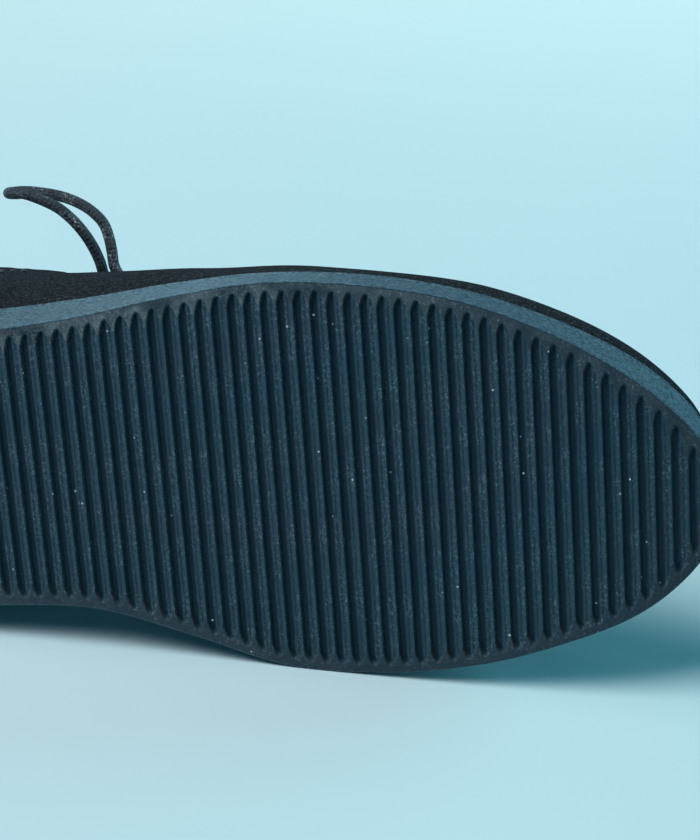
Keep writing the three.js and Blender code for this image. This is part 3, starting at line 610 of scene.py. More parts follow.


# The groove tone is painted shade: the deeper points of the tread are coloured darker
GROOVE_SHADE_TONE = tone(8, 40, 54)
RIB_TONE = tone(32, 63, 77)
RIB_PALE_TONE = tone(92, 124, 136)
SIDE_TONE = tone(40, 72, 88)
SIDE_PALE_TONE = tone(98, 138, 154)
RIM_TONE = tone(31, 48, 58)
DUST_TONE = tone(128, 142, 150)
SCUFF_TONE = tone(215, 228, 232)
# Painted light on the sole's side: a shift of its tone along the shoe, lighter a little behind the
# middle, darker towards the toe
SIDE_PAINTED_LIGHT_X = (90, 165, 215, 250, 290)
SIDE_PAINTED_LIGHT_SHARE = (-0.06, 0.26, -0.13, -0.17, -0.08)

# The rubber's finish reads numbers kept at the mesh's points: how far each is raised out of a
# groove, its share of rim, side and dust, and the painted light along the side. Deeper points
# take a darker tone as painted shade. Noises add mottle, speckle and pale flecks.
rubber = Finish("foam_rubber")
raised = rubber.kept("raised")
rim = rubber.kept("rim")
side = rubber.kept("side")
cloud = rubber.noise(26.0, 2.0).between(0.35, 0.65)
mottle = rubber.noise(120.0, 4.0, roughness=0.6).between(0.34, 0.66)
grain = rubber.noise(2600.0, 2.0, roughness=0.6)
speckle = rubber.noise(1500.0, 3.0, roughness=0.75)
blotch = rubber.noise(750.0, 4.0, roughness=0.7)
along_side = rubber.stretched((900.0, 1500.0, 1500.0))
streaks = rubber.noise(1.0, 4.0, where=along_side, roughness=0.7)
rib_share = speckle.between(0.49, 0.62) * (0.1 + mottle * 0.5)
groove_share = speckle.between(0.5, 0.64) * (0.1 + mottle * 0.6)
rib_tone = rubber.mix(rib_share, RIB_TONE, RIB_PALE_TONE)
groove_shade_tone = rubber.mix(groove_share, GROOVE_SHADE_TONE, RIB_TONE)
# Painted shade: the tread's colour goes from the rib tone to the darker groove tone with the groove's
# depth
tread_tone = rubber.mix(raised, groove_shade_tone, rib_tone)
dust = rubber.kept("dust")
dusty_rim = rubber.mix(dust * mottle * 0.5, RIM_TONE, DUST_TONE)
rim_tone = rubber.mix(rim * (0.7 + dust * 0.2), tread_tone, dusty_rim)
side_painted_light = rubber.kept("side_painted_light")
# The side's tone: its streaks plus the painted light kept on the mesh
side_tone = rubber.mix(streaks.between(0.43, 0.57) * 0.6 + side_painted_light, SIDE_TONE, SIDE_PALE_TONE)
body_tone = rubber.mix(side, rim_tone, side_tone)
dusty_speckle = speckle.between(0.5, 0.6) * blotch.between(0.42, 0.56)
dusty = dusty_speckle * rim * dust * (0.1 + cloud * 0.35)
dusty_tone = rubber.mix(dusty, body_tone, DUST_TONE)
worn_speckle = blotch.between(0.56, 0.68) * speckle.between(0.48, 0.62)
worn = worn_speckle * raised * (1 - side) * (0.1 + mottle * 0.3)
worn_tone = rubber.mix(worn, dusty_tone, DUST_TONE)
cell = {"Vector": rubber.place(), "Scale": 190.0, "Randomness": 1.0}
fleck = rubber.node("ShaderNodeTexVoronoi", {"feature": "F1"}, cell)
fleck_here = rubber.noise(70.0, 1.0).between(0.5, 0.56)
fleck_mask = (1 - fleck.between(0.035, 0.07)) * fleck_here * (1 - side)
foam_rubber = rubber.cover(
    Base_Color=rubber.mix(fleck_mask * 0.85, worn_tone, SCUFF_TONE),
    Roughness=0.6 + mottle * 0.16,
    Specular_IOR_Level=0.25,
    Normal=rubber.bump(grain * 0.7 + blotch * 1.2 + streaks * side * 2.5, 0.00022),
)

sole_faces = tube_faces(*sole_grid.shape[:2])
sole = new_piece("ribbed_wedge_sole", sole_grid, sole_faces, [foam_rubber])
keep_on_mesh(sole, "raised", on_tread(1 - depth / GROOVE_DEPTH, 1))
keep_on_mesh(sole, "rim", on_tread(1 - smooth_step(0.1, 0.5, opened), 0))
to_outer_side = smooth_step(20, -30, sole_grid[..., 1])
to_heel = smooth_step(270, 120, sole_grid[..., 0])
keep_on_mesh(sole, "dust", (0.12 + 0.88 * to_outer_side) * (0.25 + 0.75 * to_heel))
keep_on_mesh(sole, "side", on_tread(np.zeros(depth.shape), 1))
# Painted light along the side, kept at each point for the finish
keep_on_mesh(sole, "side_painted_light", np.interp(sole_grid[..., 0], SIDE_PAINTED_LIGHT_X, SIDE_PAINTED_LIGHT_SHARE))
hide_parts("outsole")


# Upper: black suede, cut and lasted over the form of a foot, glued down inside the sole's rim.
# A padded collar band is sewn round the ankle, with a double row of stitches along its edge.
INSTEP_HEIGHT = 128.0
COLLAR_HEIGHT = 88.0
RIDGE_BACK = 34.0
RIDGE_FRONT = 262.0
RIDGE_TO_INNER_SIDE = 2.0
FEATHER_INSET = 0.6
WALL = 2.0
FOOT_ROLL = 0.9
FOOT_ROLL_HEIGHT = 1.1
RIM_ROLL = 0.5
LINING_ROLL = 0.4
COLLAR_BAND_HEIGHT = 17.0
COLLAR_BAND_STEP = 0.5
COLLAR_BAND_PAD = 0.25
COLLAR_BAND_FRONT = 122.0
# each row of stitches on the band, with its share of the band's height
BAND_ROWS = (("edge", 0.12), ("second", 0.26))
THROAT_FRONT = 190.0
THROAT_GAP_TOP = 24.0
THROAT_GAP_FRONT = 15.0
THROAT_END_RADIUS = 7.0
# share of the ridge's length from back to front, height as a share of the instep height
RIDGE_LINE = np.array([
    (0.0, 1.0), (0.16, 0.969), (0.29, 0.875), (0.42, 0.75), (0.51, 0.664), (0.6, 0.578), (0.67, 0.512),
    (0.75, 0.449), (0.84, 0.391), (0.93, 0.34), (1.0, 0.305),
])
# share of the length, fullness of side and top, swell of the inner and of the outer side
LAST_SECTIONS = np.array([
    (0.0, 0.62, 0.62, 0.023, 0.023), (0.15, 0.6, 0.6, 0.028, 0.03), (0.36, 0.58, 0.56, 0.028, 0.039),
    (0.46, 0.56, 0.52, 0.014, 0.032), (0.54, 0.54, 0.5, 0.003, 0.012), (0.62, 0.53, 0.5, -0.006, -0.008),
    (0.7, 0.54, 0.52, -0.006, -0.012), (0.8, 0.62, 0.58, 0.007, 0.019), (0.88, 0.68, 0.62, 0.021, 0.028),
    (0.95, 0.7, 0.64, 0.021, 0.024), (1.0, 0.7, 0.64, 0.017, 0.017),
])
# share of the length, height of the collar's top line as a share of the collar height
TOP_LINE = np.array([
    (0.0, 1.0), (0.08, 0.965), (0.2, 0.86), (0.29, 0.835), (0.37, 0.9), (0.43, 1.0),
    (0.5, 1.25), (1.0, 2.5),
])


def ridge_point(share):
    """A point of the last's ridge, over the middle of the sole, at a share of the ridge's length."""
    x = RIDGE_BACK + (RIDGE_FRONT - RIDGE_BACK) * np.asarray(share, float)
    angle = angle_of(x / SOLE_LENGTH)
    edges_sum = from_round_table(SOLE_OUTLINE, 1, angle) + from_round_table(SOLE_OUTLINE, 2, angle)
    y = BALL_WIDTH * edges_sum / 2 + RIDGE_TO_INNER_SIDE
    return np.stack([x, y, INSTEP_HEIGHT * from_table(RIDGE_LINE, 1, share)], axis=-1)


def ridge_slope(share):
    ahead = ridge_point(np.minimum(1, share + 1e-3))
    behind = ridge_point(np.maximum(0, share - 1e-3))
    return (ahead[..., 2] - behind[..., 2]) / (ahead[..., 0] - behind[..., 0])


def ridge_x(turn):
    """How far along the shoe the ridge is at a turn, which runs from its front to its back."""
    return RIDGE_BACK + (RIDGE_FRONT - RIDGE_BACK) * (1 + np.cos(turn)) / 2


def turn_of_ridge(x):
    return np.arccos(2 * (np.asarray(x, float) - RIDGE_BACK) / (RIDGE_FRONT - RIDGE_BACK) - 1)


def last_surface(turn, rise):
    """The last: a cubic curve climbs from the sole's edge (rise 0) to the ridge (rise 1), pulled
    by one point out at the side and by one level with the ridge's own slope."""
    turn, rise = np.broadcast_arrays(np.asarray(turn, float) % (2 * np.pi), rise)
    angle = np.abs(np.pi - turn)
    out = outline_normal(turn)
    foot = sole_top_edge(turn, -FEATHER_INSET)
    start = np.concatenate([foot, sole_top(foot[..., 0])[..., None]], axis=-1)
    share = (1 + np.cos(turn)) / 2
    end = ridge_point(share)
    inner_swell = from_round_table(LAST_SECTIONS, 3, angle)
    outer_swell = from_round_table(LAST_SECTIONS, 4, angle)
    swell = BALL_WIDTH * np.where(turn <= np.pi, inner_swell, outer_swell)
    side_lift = from_round_table(LAST_SECTIONS, 1, angle) * (end[..., 2] - start[..., 2])
    side_point = start + np.concatenate([swell[..., None] * out, side_lift[..., None]], axis=-1)
    fullness = from_round_table(LAST_SECTIONS, 2, angle)[..., None]
    level = np.stack([start[..., 0], start[..., 1], end[..., 2]], axis=-1)
    top_point = level * fullness + end * (1 - fullness)
    top_point[..., 2] += ridge_slope(share) * (top_point[..., 0] - end[..., 0])
    u = rise[..., None]
    rest = 1 - u
    return rest**3 * start + 3 * u * rest**2 * side_point + 3 * u**2 * rest * top_point + u**3 * end


def on_last(turn, rise, out):
    """A point of the last's surface, moved out along the surface's normal."""
    turn, rise, out = np.broadcast_arrays(np.asarray(turn, float), rise, out)
    around = last_surface(turn + 1e-3, rise) - last_surface(turn - 1e-3, rise)
    climb = last_surface(turn, rise + 1e-3) - last_surface(turn, rise)
    normal = unit(np.cross(around, climb))
    share = (1 + np.cos(turn)) / 2
    crest = unit(np.stack([-ridge_slope(share), np.zeros(turn.shape), np.ones(turn.shape)], axis=-1))
    normal = np.where((rise > 0.999)[..., None], crest, normal)
    return last_surface(turn, rise) + normal * out[..., None] + (0, 0, CLEARANCE)


def rise_where(test, shape):
    """Halves the range 30 times towards the rise at which a test that grows with it passes zero."""
    low, high = np.zeros(shape), np.ones(shape)
    for _ in range(30):
        middle_rise = (low + high) / 2
        below = test(middle_rise) < 0
        low, high = np.where(below, middle_rise, low), np.where(below, high, middle_rise)
    return high


def rise_from_ridge(turn, distance):
    """The rise at which the last's surface is a distance away from the ridge."""
    crest = ridge_point((1 + np.cos(turn)) / 2)
    gap = lambda rise: distance - np.linalg.norm(last_surface(turn, rise) - crest, axis=-1)
    return rise_where(gap, np.shape(turn))


def throat_half_gap(x):
    """Half the gap between the facings: it narrows forwards and closes in a round end."""
    share = np.clip((THROAT_FRONT - x) / (THROAT_FRONT - COLLAR_BAND_FRONT), 0, 1)
    half = (THROAT_GAP_FRONT + (THROAT_GAP_TOP - THROAT_GAP_FRONT) * share) / 2
    past = np.clip((x - THROAT_FRONT + THROAT_END_RADIUS) / THROAT_END_RADIUS, 0, 1)
    return half * np.sqrt(1 - past**2)


def rise_at_collar(turn):
    """The rise at which the last's surface meets the collar's top line."""
    def over_line(rise):
        point = last_surface(turn, rise)
        return point[..., 2] - COLLAR_HEIGHT * from_table(TOP_LINE, 1, point[..., 0] / SOLE_LENGTH)

    return rise_where(over_line, np.shape(turn))


def rise_of_opening(turn):
    from_ridge = rise_from_ridge(turn, throat_half_gap(ridge_x(turn)))
    return np.minimum(rise_at_collar(turn), from_ridge)


def band_reach_at(share):
    """The band's half length in turns, at a share of its height: its front ends are round."""
    whole = np.pi - float(turn_of_ridge(COLLAR_BAND_FRONT))
    return whole * (0.9 + 0.1 * np.sqrt(1 - 0.97 * (1 - np.clip(share, 0, 1)) ** 2))


def band_fill(share):
    """The band's step as a share of all of it: a quarter at its lower edge, all halfway up."""
    return 0.25 + 0.75 * smooth_step(0.02, 0.55, share)


# The turn of the facings' top corner, where the collar's line meets the throat
THROAT_TURN = float(turn_of_ridge(THROAT_FRONT))
search = np.linspace(THROAT_TURN, np.pi, 4001)
in_collar = rise_at_collar(search) < rise_from_ridge(search, throat_half_gap(ridge_x(search)))
CORNER_TURN = float(search[np.argmax(in_collar)])

stops = [0.0, THROAT_TURN, CORNER_TURN, np.pi]
spans = zip(stops, stops[1:], (80, 60, 90))
half_turns = np.concatenate([np.linspace(a, b, n, endpoint=False) for a, b, n in spans])
turns = np.concatenate([half_turns, [np.pi], 2 * np.pi - half_turns[:0:-1]])[:, None]
opening = rise_of_opening(turns)
climb_share = [np.linspace(0, 0.06, 7)[:-1], np.linspace(0.06, 0.97, 40), [0.985, 1.0]]
climb_share = np.concatenate(climb_share)[None, :]
rises = climb_share * opening
base_height = sole_top(last_surface(turns, 0.0)[..., 0])
opening_height = last_surface(turns, opening)[..., 2] - base_height
surface = last_surface(turns, rises)
over_sole = surface[..., 2] - base_height

# Collar band: inside its lower edge and its round front ends it stands out, fullest midway
band_start = 1 - COLLAR_BAND_HEIGHT / opening_height
band_drop = (climb_share - band_start) / (1 - band_start)
band_side = band_reach_at(band_drop) - np.abs(turns - np.pi)
in_band = smooth_step(0.0, 0.045, band_drop) * smooth_step(0.0, 0.012, band_side)
band_share = np.clip(band_drop, 0, 1)
band_crown = (4 * band_share * (1 - band_share)) ** 0.6
pinches = [np.exp(-(((band_drop - row_share) / 0.035) ** 2)) for _, row_share in BAND_ROWS]
band_soft = COLLAR_BAND_PAD * band_crown * smooth_step(0, 0.05, band_side)
band_out = (COLLAR_BAND_STEP + band_soft) * band_fill(band_drop) - 0.12 * sum(pinches)

# Soft creases: x, share of the climb, slant, length share, width in mm, depth in mm
CREASES = [
    (206.0, 0.80, 10.0, 0.34, 5.0, 0.9), (219.0, 0.86, 14.0, 0.26, 4.5, 0.6),
    (196.0, 0.70, -8.0, 0.2, 6.0, 0.5), (171.0, 0.40, 6.0, 0.3, 12.0, 0.55),
    (128.0, 0.72, 26.0, 0.14, 7.0, 0.2), (62.0, 0.45, -26.0, 0.2, 9.0, 0.5),
]
crease_out = np.zeros(rises.shape)
for crease_x, crease_climb, slant, reach, width, crease_depth in CREASES:
    off = surface[..., 0] - crease_x - slant * (climb_share - crease_climb)
    fade = np.exp(-(((climb_share - crease_climb) / reach) ** 2))
    trough = -np.exp(-((off / width) ** 2)) + 0.55 * np.exp(-(((off - 1.7 * width) / width) ** 2))
    crease_out += crease_depth * fade * trough
near_rim = smooth_step(0.975, 1.0, climb_share)
rolled_in = FOOT_ROLL * np.exp(-((over_sole / FOOT_ROLL_HEIGHT) ** 2)) + RIM_ROLL * near_rim
upper_outside = on_last(turns, rises, in_band * band_out + crease_out - rolled_in)
lining_out = LINING_ROLL * near_rim + np.minimum(crease_out, 0) - WALL
upper_inside = on_last(turns, rises, lining_out)


def shell(outside, inside, wrap_rows=False):
    """A wall between two grids of the same size, closed along its borders. It returns points,
    faces and how many of the last faces are on the inside."""
    rows, columns = outside.shape[:2]
    points = np.concatenate([outside.reshape(-1, 3), inside.reshape(-1, 3)])
    out_faces = grid_faces(rows, columns, wrap_rows)[:, ::-1]
    in_faces = grid_faces(rows, columns, wrap_rows, first=rows * columns)
    i = np.arange(rows if wrap_rows else rows - 1)
    near, far = i * columns, ((i + 1) % rows) * columns
    shift = rows * columns
    foot_faces = np.stack([near, near + shift, far + shift, far], axis=1)
    near, far = near + columns - 1, far + columns - 1
    top_faces = np.stack([near, far, far + shift, near + shift], axis=1)
    borders = [foot_faces, top_faces]
    if not wrap_rows:
        j = np.arange(columns - 1)
        start = np.stack([j, j + 1, j + 1 + shift, j + shift], axis=1)
        last = j + (rows - 1) * columns
        borders += [start, np.stack([last, last + shift, last + 1 + shift, last + 1], axis=1)]
    faces = np.concatenate([out_faces, *borders, in_faces])
    return points, faces, len(in_faces)


def wall_piece(name, outside, inside, finishes):
    """A piece made of one such wall. A second finish, where there is one, covers its inside."""
    points, faces, count = shell(outside, inside)
    return new_piece(name, points, faces.tolist(), finishes, inside=count if finishes[1:] else 0)


SUEDE_DARK = tone(3, 8, 11)
SUEDE_MID = tone(46, 58, 65)
SUEDE_PALE = tone(120, 142, 152)
THREAD_TONE = tone(52, 70, 78)
LINING_TONE = tone(20, 29, 35)
LINING_PALE = tone(46, 60, 68)

suede = Finish("black_suede")
brushed = suede.noise(70.0, 3.0, roughness=0.55).between(0.35, 0.65)
clumps = suede.noise(950.0, 4.0, roughness=0.75)
nap = suede.noise(2000.0, 3.0, roughness=0.8)
lint = suede.noise(1900.0, 2.0, roughness=0.6).between(0.66, 0.72)
tufts = clumps.between(0.45, 0.56) * 0.45 + nap.between(0.45, 0.56) * 0.45
suede_share = tufts + brushed * 0.1
suede_tone = suede.mix(suede_share, SUEDE_DARK, SUEDE_MID)
nap_tips = nap.between(0.54, 0.62) * clumps.between(0.48, 0.56)
black_suede = suede.cover(
    Base_Color=suede.mix(lint * 0.6 + nap_tips * 0.3, suede_tone, SUEDE_PALE),
    Roughness=1.0,
    Specular_IOR_Level=0.05,
    Sheen_Weight=0.02,
    Sheen_Roughness=0.5,
    Sheen_Tint=(0.55, 0.85, 1.0, 1.0),
    Normal=suede.bump(clumps * 1.4 + nap, 0.0009),
)

lining = Finish("woven_lining")
warp = lining.noise(1.0, 2.0, where=lining.stretched((1400.0, 500.0, 500.0)))
weft = lining.noise(1.0, 2.0, where=lining.stretched((300.0, 1500.0, 1500.0)))
weave = warp + weft
soft = lining.noise(60.0, 3.0).between(0.3, 0.7)
woven_lining = lining.cover(
    Base_Color=lining.mix(weave.between(0.8, 1.2) * 0.6 + soft * 0.3, LINING_TONE, LINING_PALE),
    Roughness=0.88,
    Sheen_Weight=0.05,
    Normal=lining.bump(weave, 0.0002),
)

points, faces, inside_count = shell(upper_outside, upper_inside, wrap_rows=True)


def join_ridge(points, faces, count):
    """Merges points closer than a hundredth of a millimetre, as the two sides' are where they
    meet on the ridge, and drops faces that this leaves without area or that lie in the join."""
    key = np.round(points / 0.01).astype(np.int64)
    _, first, same = np.unique(key, axis=0, return_index=True, return_inverse=True)
    merged = same.reshape(-1)[faces]
    order = np.argsort(first)
    place_of = np.empty(len(first), int)
    place_of[order] = np.arange(len(first))
    merged = place_of[merged]
    lists = [[int(v) for k, v in enumerate(face) if v != face[k - 1]] for face in merged.tolist()]
    kept = [(face, n >= len(faces) - count) for n, face in enumerate(lists) if len(set(face)) >= 3]
    seen = {}
    for n, (face, _) in enumerate(kept):
        seen.setdefault(tuple(sorted(face)), []).append(n)
    doubled = {n for group in seen.values() if len(group) > 1 for n in group}
    kept = [item for n, item in enumerate(kept) if n not in doubled]
    return points[first[order]], [face for face, _ in kept], sum(inner for _, inner in kept)


points, faces, inside_count = join_ridge(points, faces, inside_count)
upper = new_piece("suede_upper", points, faces, [black_suede, woven_lining], inside=inside_count)
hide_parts("upper")

# Facings: two panels of the same suede beside the throat, skived at the edge and sewn down with
# two rows of stitches. Four plain holes are punched through each.
FACING_WIDTH = 21.0
FACING_LENGTH = 70
FACING_THICKNESS = 1.3
FACING_GAP = 0.5
FACING_FRONT_LAP = 7.0
EYELET_ROWS = 4
FIRST_ROW = 142.0
ROW_SPACING = 13.0
EYELET_MARGIN = 8.0
EYELET_DIAMETER = 4.2
FACING_EDGE = 0.9
STITCH_LENGTH = 2.3
STITCH_PITCH = 3.1
STITCH_RADIUS = 0.32
# each row of stitches on a facing, with its distance in from the edge
FACING_ROWS = (("edge", 1.8), ("second", 3.8))


def round_edge(gap, radius):
    """A quarter circle's height as a share of its radius, at a distance in from its edge."""
    return np.sqrt(np.clip(1 - (1 - np.clip(gap / radius, 0, 1)) ** 2, 0, 1))


def facing_place(share, step):
    """Turn and rise in a facing: share runs from its top corner to the front, step from its
    outer edge (0) to the throat (1). The front end narrows as a quarter ellipse."""
    turn = CORNER_TURN + (float(turn_of_ridge(THROAT_FRONT + FACING_FRONT_LAP)) - CORNER_TURN) * share
    past = np.clip((share - 0.72) / 0.28, 0, 1)
    width = FACING_WIDTH * (0.25 + 0.75 * np.sqrt(1 - past**2))
    closing = THROAT_GAP_FRONT / 2 * np.minimum(1, 0.55 + 0.45 * share)
    edge = np.maximum(throat_half_gap(ridge_x(turn)), closing) + 0.4
    rise = rise_from_ridge(turn, edge + width * (1 - step))
    return turn, np.minimum(rise, rise_of_opening(turn) - 0.004), width


def both_sides(turn, outer):
    """A turn of the inner side, or its mirror on the outer side."""
    return 2 * np.pi - turn if outer else turn


def stitches(name, path, normals):
    """Stitches along a path that lies on a surface: short spindles, one each pitch, each sunk
    at both ends. Each spindle has five rings of six points round its middle line."""
    along = lengths_along(path)
    at = np.arange(STITCH_PITCH, along[-1] - STITCH_PITCH, STITCH_PITCH)
    middle = read_at(at, along, path)
    ahead = unit(read_at(at + 0.5, along, path) - middle)
    out = unit(read_at(at, along, normals))
    s = np.linspace(-1, 1, 5)
    ring = np.linspace(0, 2 * np.pi, 6, endpoint=False)
    fat = STITCH_RADIUS * np.sqrt(1 - 0.96 * s**2)
    bow = 0.18 - 0.3 * s**2
    local = np.stack(np.broadcast_arrays(
        s[:, None] * STITCH_LENGTH / 2,
        fat[:, None] * np.cos(ring),
        fat[:, None] * np.sin(ring) + bow[:, None],
    ), axis=-1).reshape(-1, 3)
    frames = np.stack([ahead, np.cross(out, ahead), out], axis=1)
    points = middle[:, None] + np.einsum("pk,nkc->npc", local, frames)
    faces = sum((tube_faces(5, 6, first=30 * n) for n in range(len(at))), [])
    piece = new_piece(name, points, faces, [waxed_thread])


thread = Finish("waxed_thread")
waxed_thread = thread.cover(
    Base_Color=thread.mix(thread.noise(900.0, 2.0).between(0.4, 0.6), THREAD_TONE, SUEDE_MID),
    Roughness=0.6,
    Normal=thread.bump(thread.noise(2500.0, 2.0), 0.0001),
)


def eyelet_place(row, outer):
    """Turn and rise of an eyelet's middle."""
    x = FIRST_ROW + row * ROW_SPACING
    turn = turn_of_ridge(x)
    rise = rise_from_ridge(turn, throat_half_gap(x) + EYELET_MARGIN)
    return both_sides(turn, outer), rise


def punch(piece, outer):
    """Cuts the four round eyelets through a piece with one cutter of four cylinders."""
    points, faces = [], []
    for row in range(EYELET_ROWS):
        turn, rise = eyelet_place(row, outer)
        low, high = on_last(turn, rise, -7.0), on_last(turn, rise, 7.0)
        drill = tube_grid(np.linspace(low, high, 3), EYELET_DIAMETER / 2, 24)
        faces += tube_faces(3, 24, first=3 * 24 * row)
        points.append(drill.reshape(-1, 3))
    cutter_mesh = bpy.data.meshes.new("eyelet_cutter")
    cutter_mesh.from_pydata(place(np.concatenate(points)).tolist(), [], faces)
    cutter = add_object("eyelet_cutter", cutter_mesh)
    cut = piece.modifiers.new("eyelets", "BOOLEAN")
    cut.operation = "DIFFERENCE"
    cut.solver = "EXACT"
    cut.object = cutter
    whole = piece.data
    graph = bpy.context.evaluated_depsgraph_get()
    result = bpy.data.meshes.new_from_object(piece.evaluated_get(graph))
    piece.modifiers.remove(cut)
    piece.data = result
    result.name = whole.name
    bpy.data.meshes.remove(whole)
    bpy.data.objects.remove(cutter)
    bpy.data.meshes.remove(cutter_mesh)
    result.set_sharp_from_angle(angle=SHARP_ANGLE)


for side_name, outer in (("inner", False), ("outer", True)):
    share = np.linspace(0, 1, 110)[:, None]
    step = [[0, 0.015, 0.04], np.linspace(0.08, 0.92, 26), [0.96, 0.985, 1.0]]
    step = np.concatenate(step)[None, :]
    turn, rise, width = facing_place(np.broadcast_to(share, (len(share), step.size)), step)
    end_gap = FACING_LENGTH * np.minimum(share, 1 - share)
    edge_gap = np.minimum(np.minimum(step, 1 - step) * width, end_gap)
    row_gap = np.min([np.abs(edge_gap - row_inset) for _, row_inset in FACING_ROWS], axis=0)
    sewn = 0.25 * np.exp(-((row_gap / 0.7) ** 2))
    rounded = round_edge(edge_gap, FACING_EDGE)
    raised_out = FACING_GAP + FACING_THICKNESS * (0.35 + 0.65 * rounded) - sewn
    turn = both_sides(turn, outer)
    outside = on_last(turn, rise, raised_out)
    inside = on_last(turn, rise, 0.12)
    if not outer:
        outside, inside = outside[::-1], inside[::-1]
    panel = wall_piece(f"facing_{side_name}_suede", outside, inside, [black_suede])
    punch(panel, outer)
    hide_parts(f"facing_{side_name}")
    for row_name, row_inset in FACING_ROWS:
        line = np.linspace(0.02, 0.985, 160)
        width = facing_place(line, 0.0)[2]
        turn, rise, _ = facing_place(line, row_inset / width)
        path = on_last(both_sides(turn, outer), rise, FACING_GAP + FACING_THICKNESS - 0.2)
        out = unit(on_last(both_sides(turn, outer), rise, 3.0) - path)
        stitches(f"facing_{side_name}_{row_name}_stitches", path, out)

# Stitches of the collar band: two rows, about two and four and a half millimetres above its
# lower edge, from one round front end to the other.
for row_name, row_share in BAND_ROWS:
    reach = band_reach_at(row_share) - 0.02
    line = np.linspace(np.pi - reach, np.pi + reach, 400)
    line_opening = rise_of_opening(line)
    line_base = sole_top(last_surface(line, 0.0)[:, 0])
    line_height = last_surface(line, line_opening)[:, 2] - line_base
    line_rise = line_opening * (1 - COLLAR_BAND_HEIGHT / line_height * (1 - row_share))
    path = on_last(line, line_rise, COLLAR_BAND_STEP * band_fill(row_share) + 0.1)
    out = unit(on_last(line, line_rise, 3.0) - path)
    stitches(f"collar_band_{row_name}_stitches", path, out)

# Collar binding: a strip of the suede rolled over the collar's rim, from corner to corner.
BINDING_RADIUS = 1.8
BINDING_STEPS = 260
MIDDLE_OF_WALL = -0.9
binding_turn = np.linspace(CORNER_TURN + 0.02, 2 * np.pi - CORNER_TURN - 0.02, BINDING_STEPS)


def rim_point(turn):
    return on_last(turn, rise_at_collar(turn), MIDDLE_OF_WALL) - (0, 0, CLEARANCE)


rim_ahead = rim_point(binding_turn + 0.01) - rim_point(binding_turn - 0.01)
rim_rise = rise_at_collar(binding_turn)
rim_out = unit(on_last(binding_turn, rim_rise, 2.0) - on_last(binding_turn, rim_rise, 0.0))
rim_away = unit(np.cross(rim_out, rim_ahead))
binding_path = rim_point(binding_turn) + rim_away * (BINDING_RADIUS + 0.1)
step_number = np.arange(BINDING_STEPS)
pucker = 0.08 * np.sin(step_number * 1.9) + 0.05 * np.sin(step_number * 0.73)
binding = tube_piece("rolled_collar_binding", binding_path, BINDING_RADIUS + pucker, 18, black_suede)
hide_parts("collar_binding")

# Tongue: a soft leaf of suede under the facings, lined, that stands up past the collar.
TONGUE_WIDTH = 44.0
TONGUE_THICKNESS = 2.2
TONGUE_GAP = 1.2
TONGUE_BACK = 114.0
TONGUE_FRONT = 203.0
TONGUE_END_RADIUS = 13.0
TONGUE_EDGE = 1.1
TONGUE_WAVE = 0.25
round_end = 1 - np.cos(np.linspace(0, np.pi / 2, 26))[:-1]
leaf_straight = np.linspace(TONGUE_BACK + TONGUE_END_RADIUS, TONGUE_FRONT, 60)
leaf_x = np.concatenate([TONGUE_BACK + TONGUE_END_RADIUS * round_end, leaf_straight])[:, None]
leaf_past = np.clip(leaf_straight[0] - leaf_x, 0, None) / TONGUE_END_RADIUS
leaf_half = TONGUE_WIDTH / 2 * (0.12 + 0.88 * np.sqrt(1 - leaf_past**2))
leaf_step = np.sin(np.linspace(-np.pi / 2, np.pi / 2, 45))[None, :]
leaf_turn = np.broadcast_to(turn_of_ridge(leaf_x), (len(leaf_x), leaf_step.size))
leaf_rise = rise_from_ridge(leaf_turn, np.abs(leaf_step) * leaf_half)
leaf_rise = np.where(np.abs(leaf_step) < 1e-6, 1.0, leaf_rise)
leaf_turn = np.where(leaf_step < 0, 2 * np.pi - leaf_turn, leaf_turn)
leaf_edge = np.minimum((1 - np.abs(leaf_step)) * leaf_half, leaf_x - TONGUE_BACK)
leaf_round = round_edge(leaf_edge, TONGUE_EDGE)
leaf_wave = TONGUE_WAVE * np.sin(leaf_x * 0.32 + leaf_step * 1.5) * smooth_step(0, 8, leaf_edge)
leaf_top = -(WALL + TONGUE_GAP) - 0.9 * (1 - leaf_round) + np.minimum(leaf_wave, 0.1)
leaf_under = -(WALL + TONGUE_GAP) - TONGUE_THICKNESS + 0.7 * (1 - leaf_round)
leaf_outside = on_last(leaf_turn, leaf_rise, leaf_top) - (0, 0, CLEARANCE)
leaf_inside = on_last(leaf_turn, leaf_rise, leaf_under) - (0, 0, CLEARANCE)
tongue = wall_piece("soft_tongue", leaf_outside, leaf_inside, [black_suede, woven_lining])
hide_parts("tongue")

# Insole: a thin padded sock, glued in, with the lining's cloth on top and a rounded edge.
INSOLE_THICKNESS = 3.0
INSOLE_MARGIN = 0.9
INSOLE_END_ANGLE = 0.12
INSOLE_EDGE = 1.5
sock_angle = np.linspace(INSOLE_END_ANGLE, np.pi - INSOLE_END_ANGLE, 110)[:, None]
sock_step = np.concatenate([[0.0, 0.012, 0.03], np.linspace(0.06, 0.94, 18), [0.97, 0.988, 1.0]])
sock_step = sock_step[None, :]
margin = -(FEATHER_INSET + WALL + INSOLE_MARGIN)
sock_outer = sole_top_edge(np.pi + sock_angle, margin)
sock_inner = sole_top_edge(np.pi - sock_angle, margin)
sock_plan = sock_outer * (1 - sock_step[..., None]) + sock_inner * sock_step[..., None]
sock_base = sole_top(sock_plan[..., 0]) + CLEARANCE
sock_gap = np.minimum(sock_step, 1 - sock_step) * np.linalg.norm(sock_inner - sock_outer, axis=-1)
end_gap = np.minimum(sock_angle, np.pi - sock_angle) - INSOLE_END_ANGLE
sock_round = round_edge(np.minimum(sock_gap, 60 * end_gap + 0.2), INSOLE_EDGE)
sock_top = sock_base + INSOLE_THICKNESS * (0.45 + 0.55 * sock_round)
outside = np.concatenate([sock_plan, sock_top[..., None]], axis=-1)
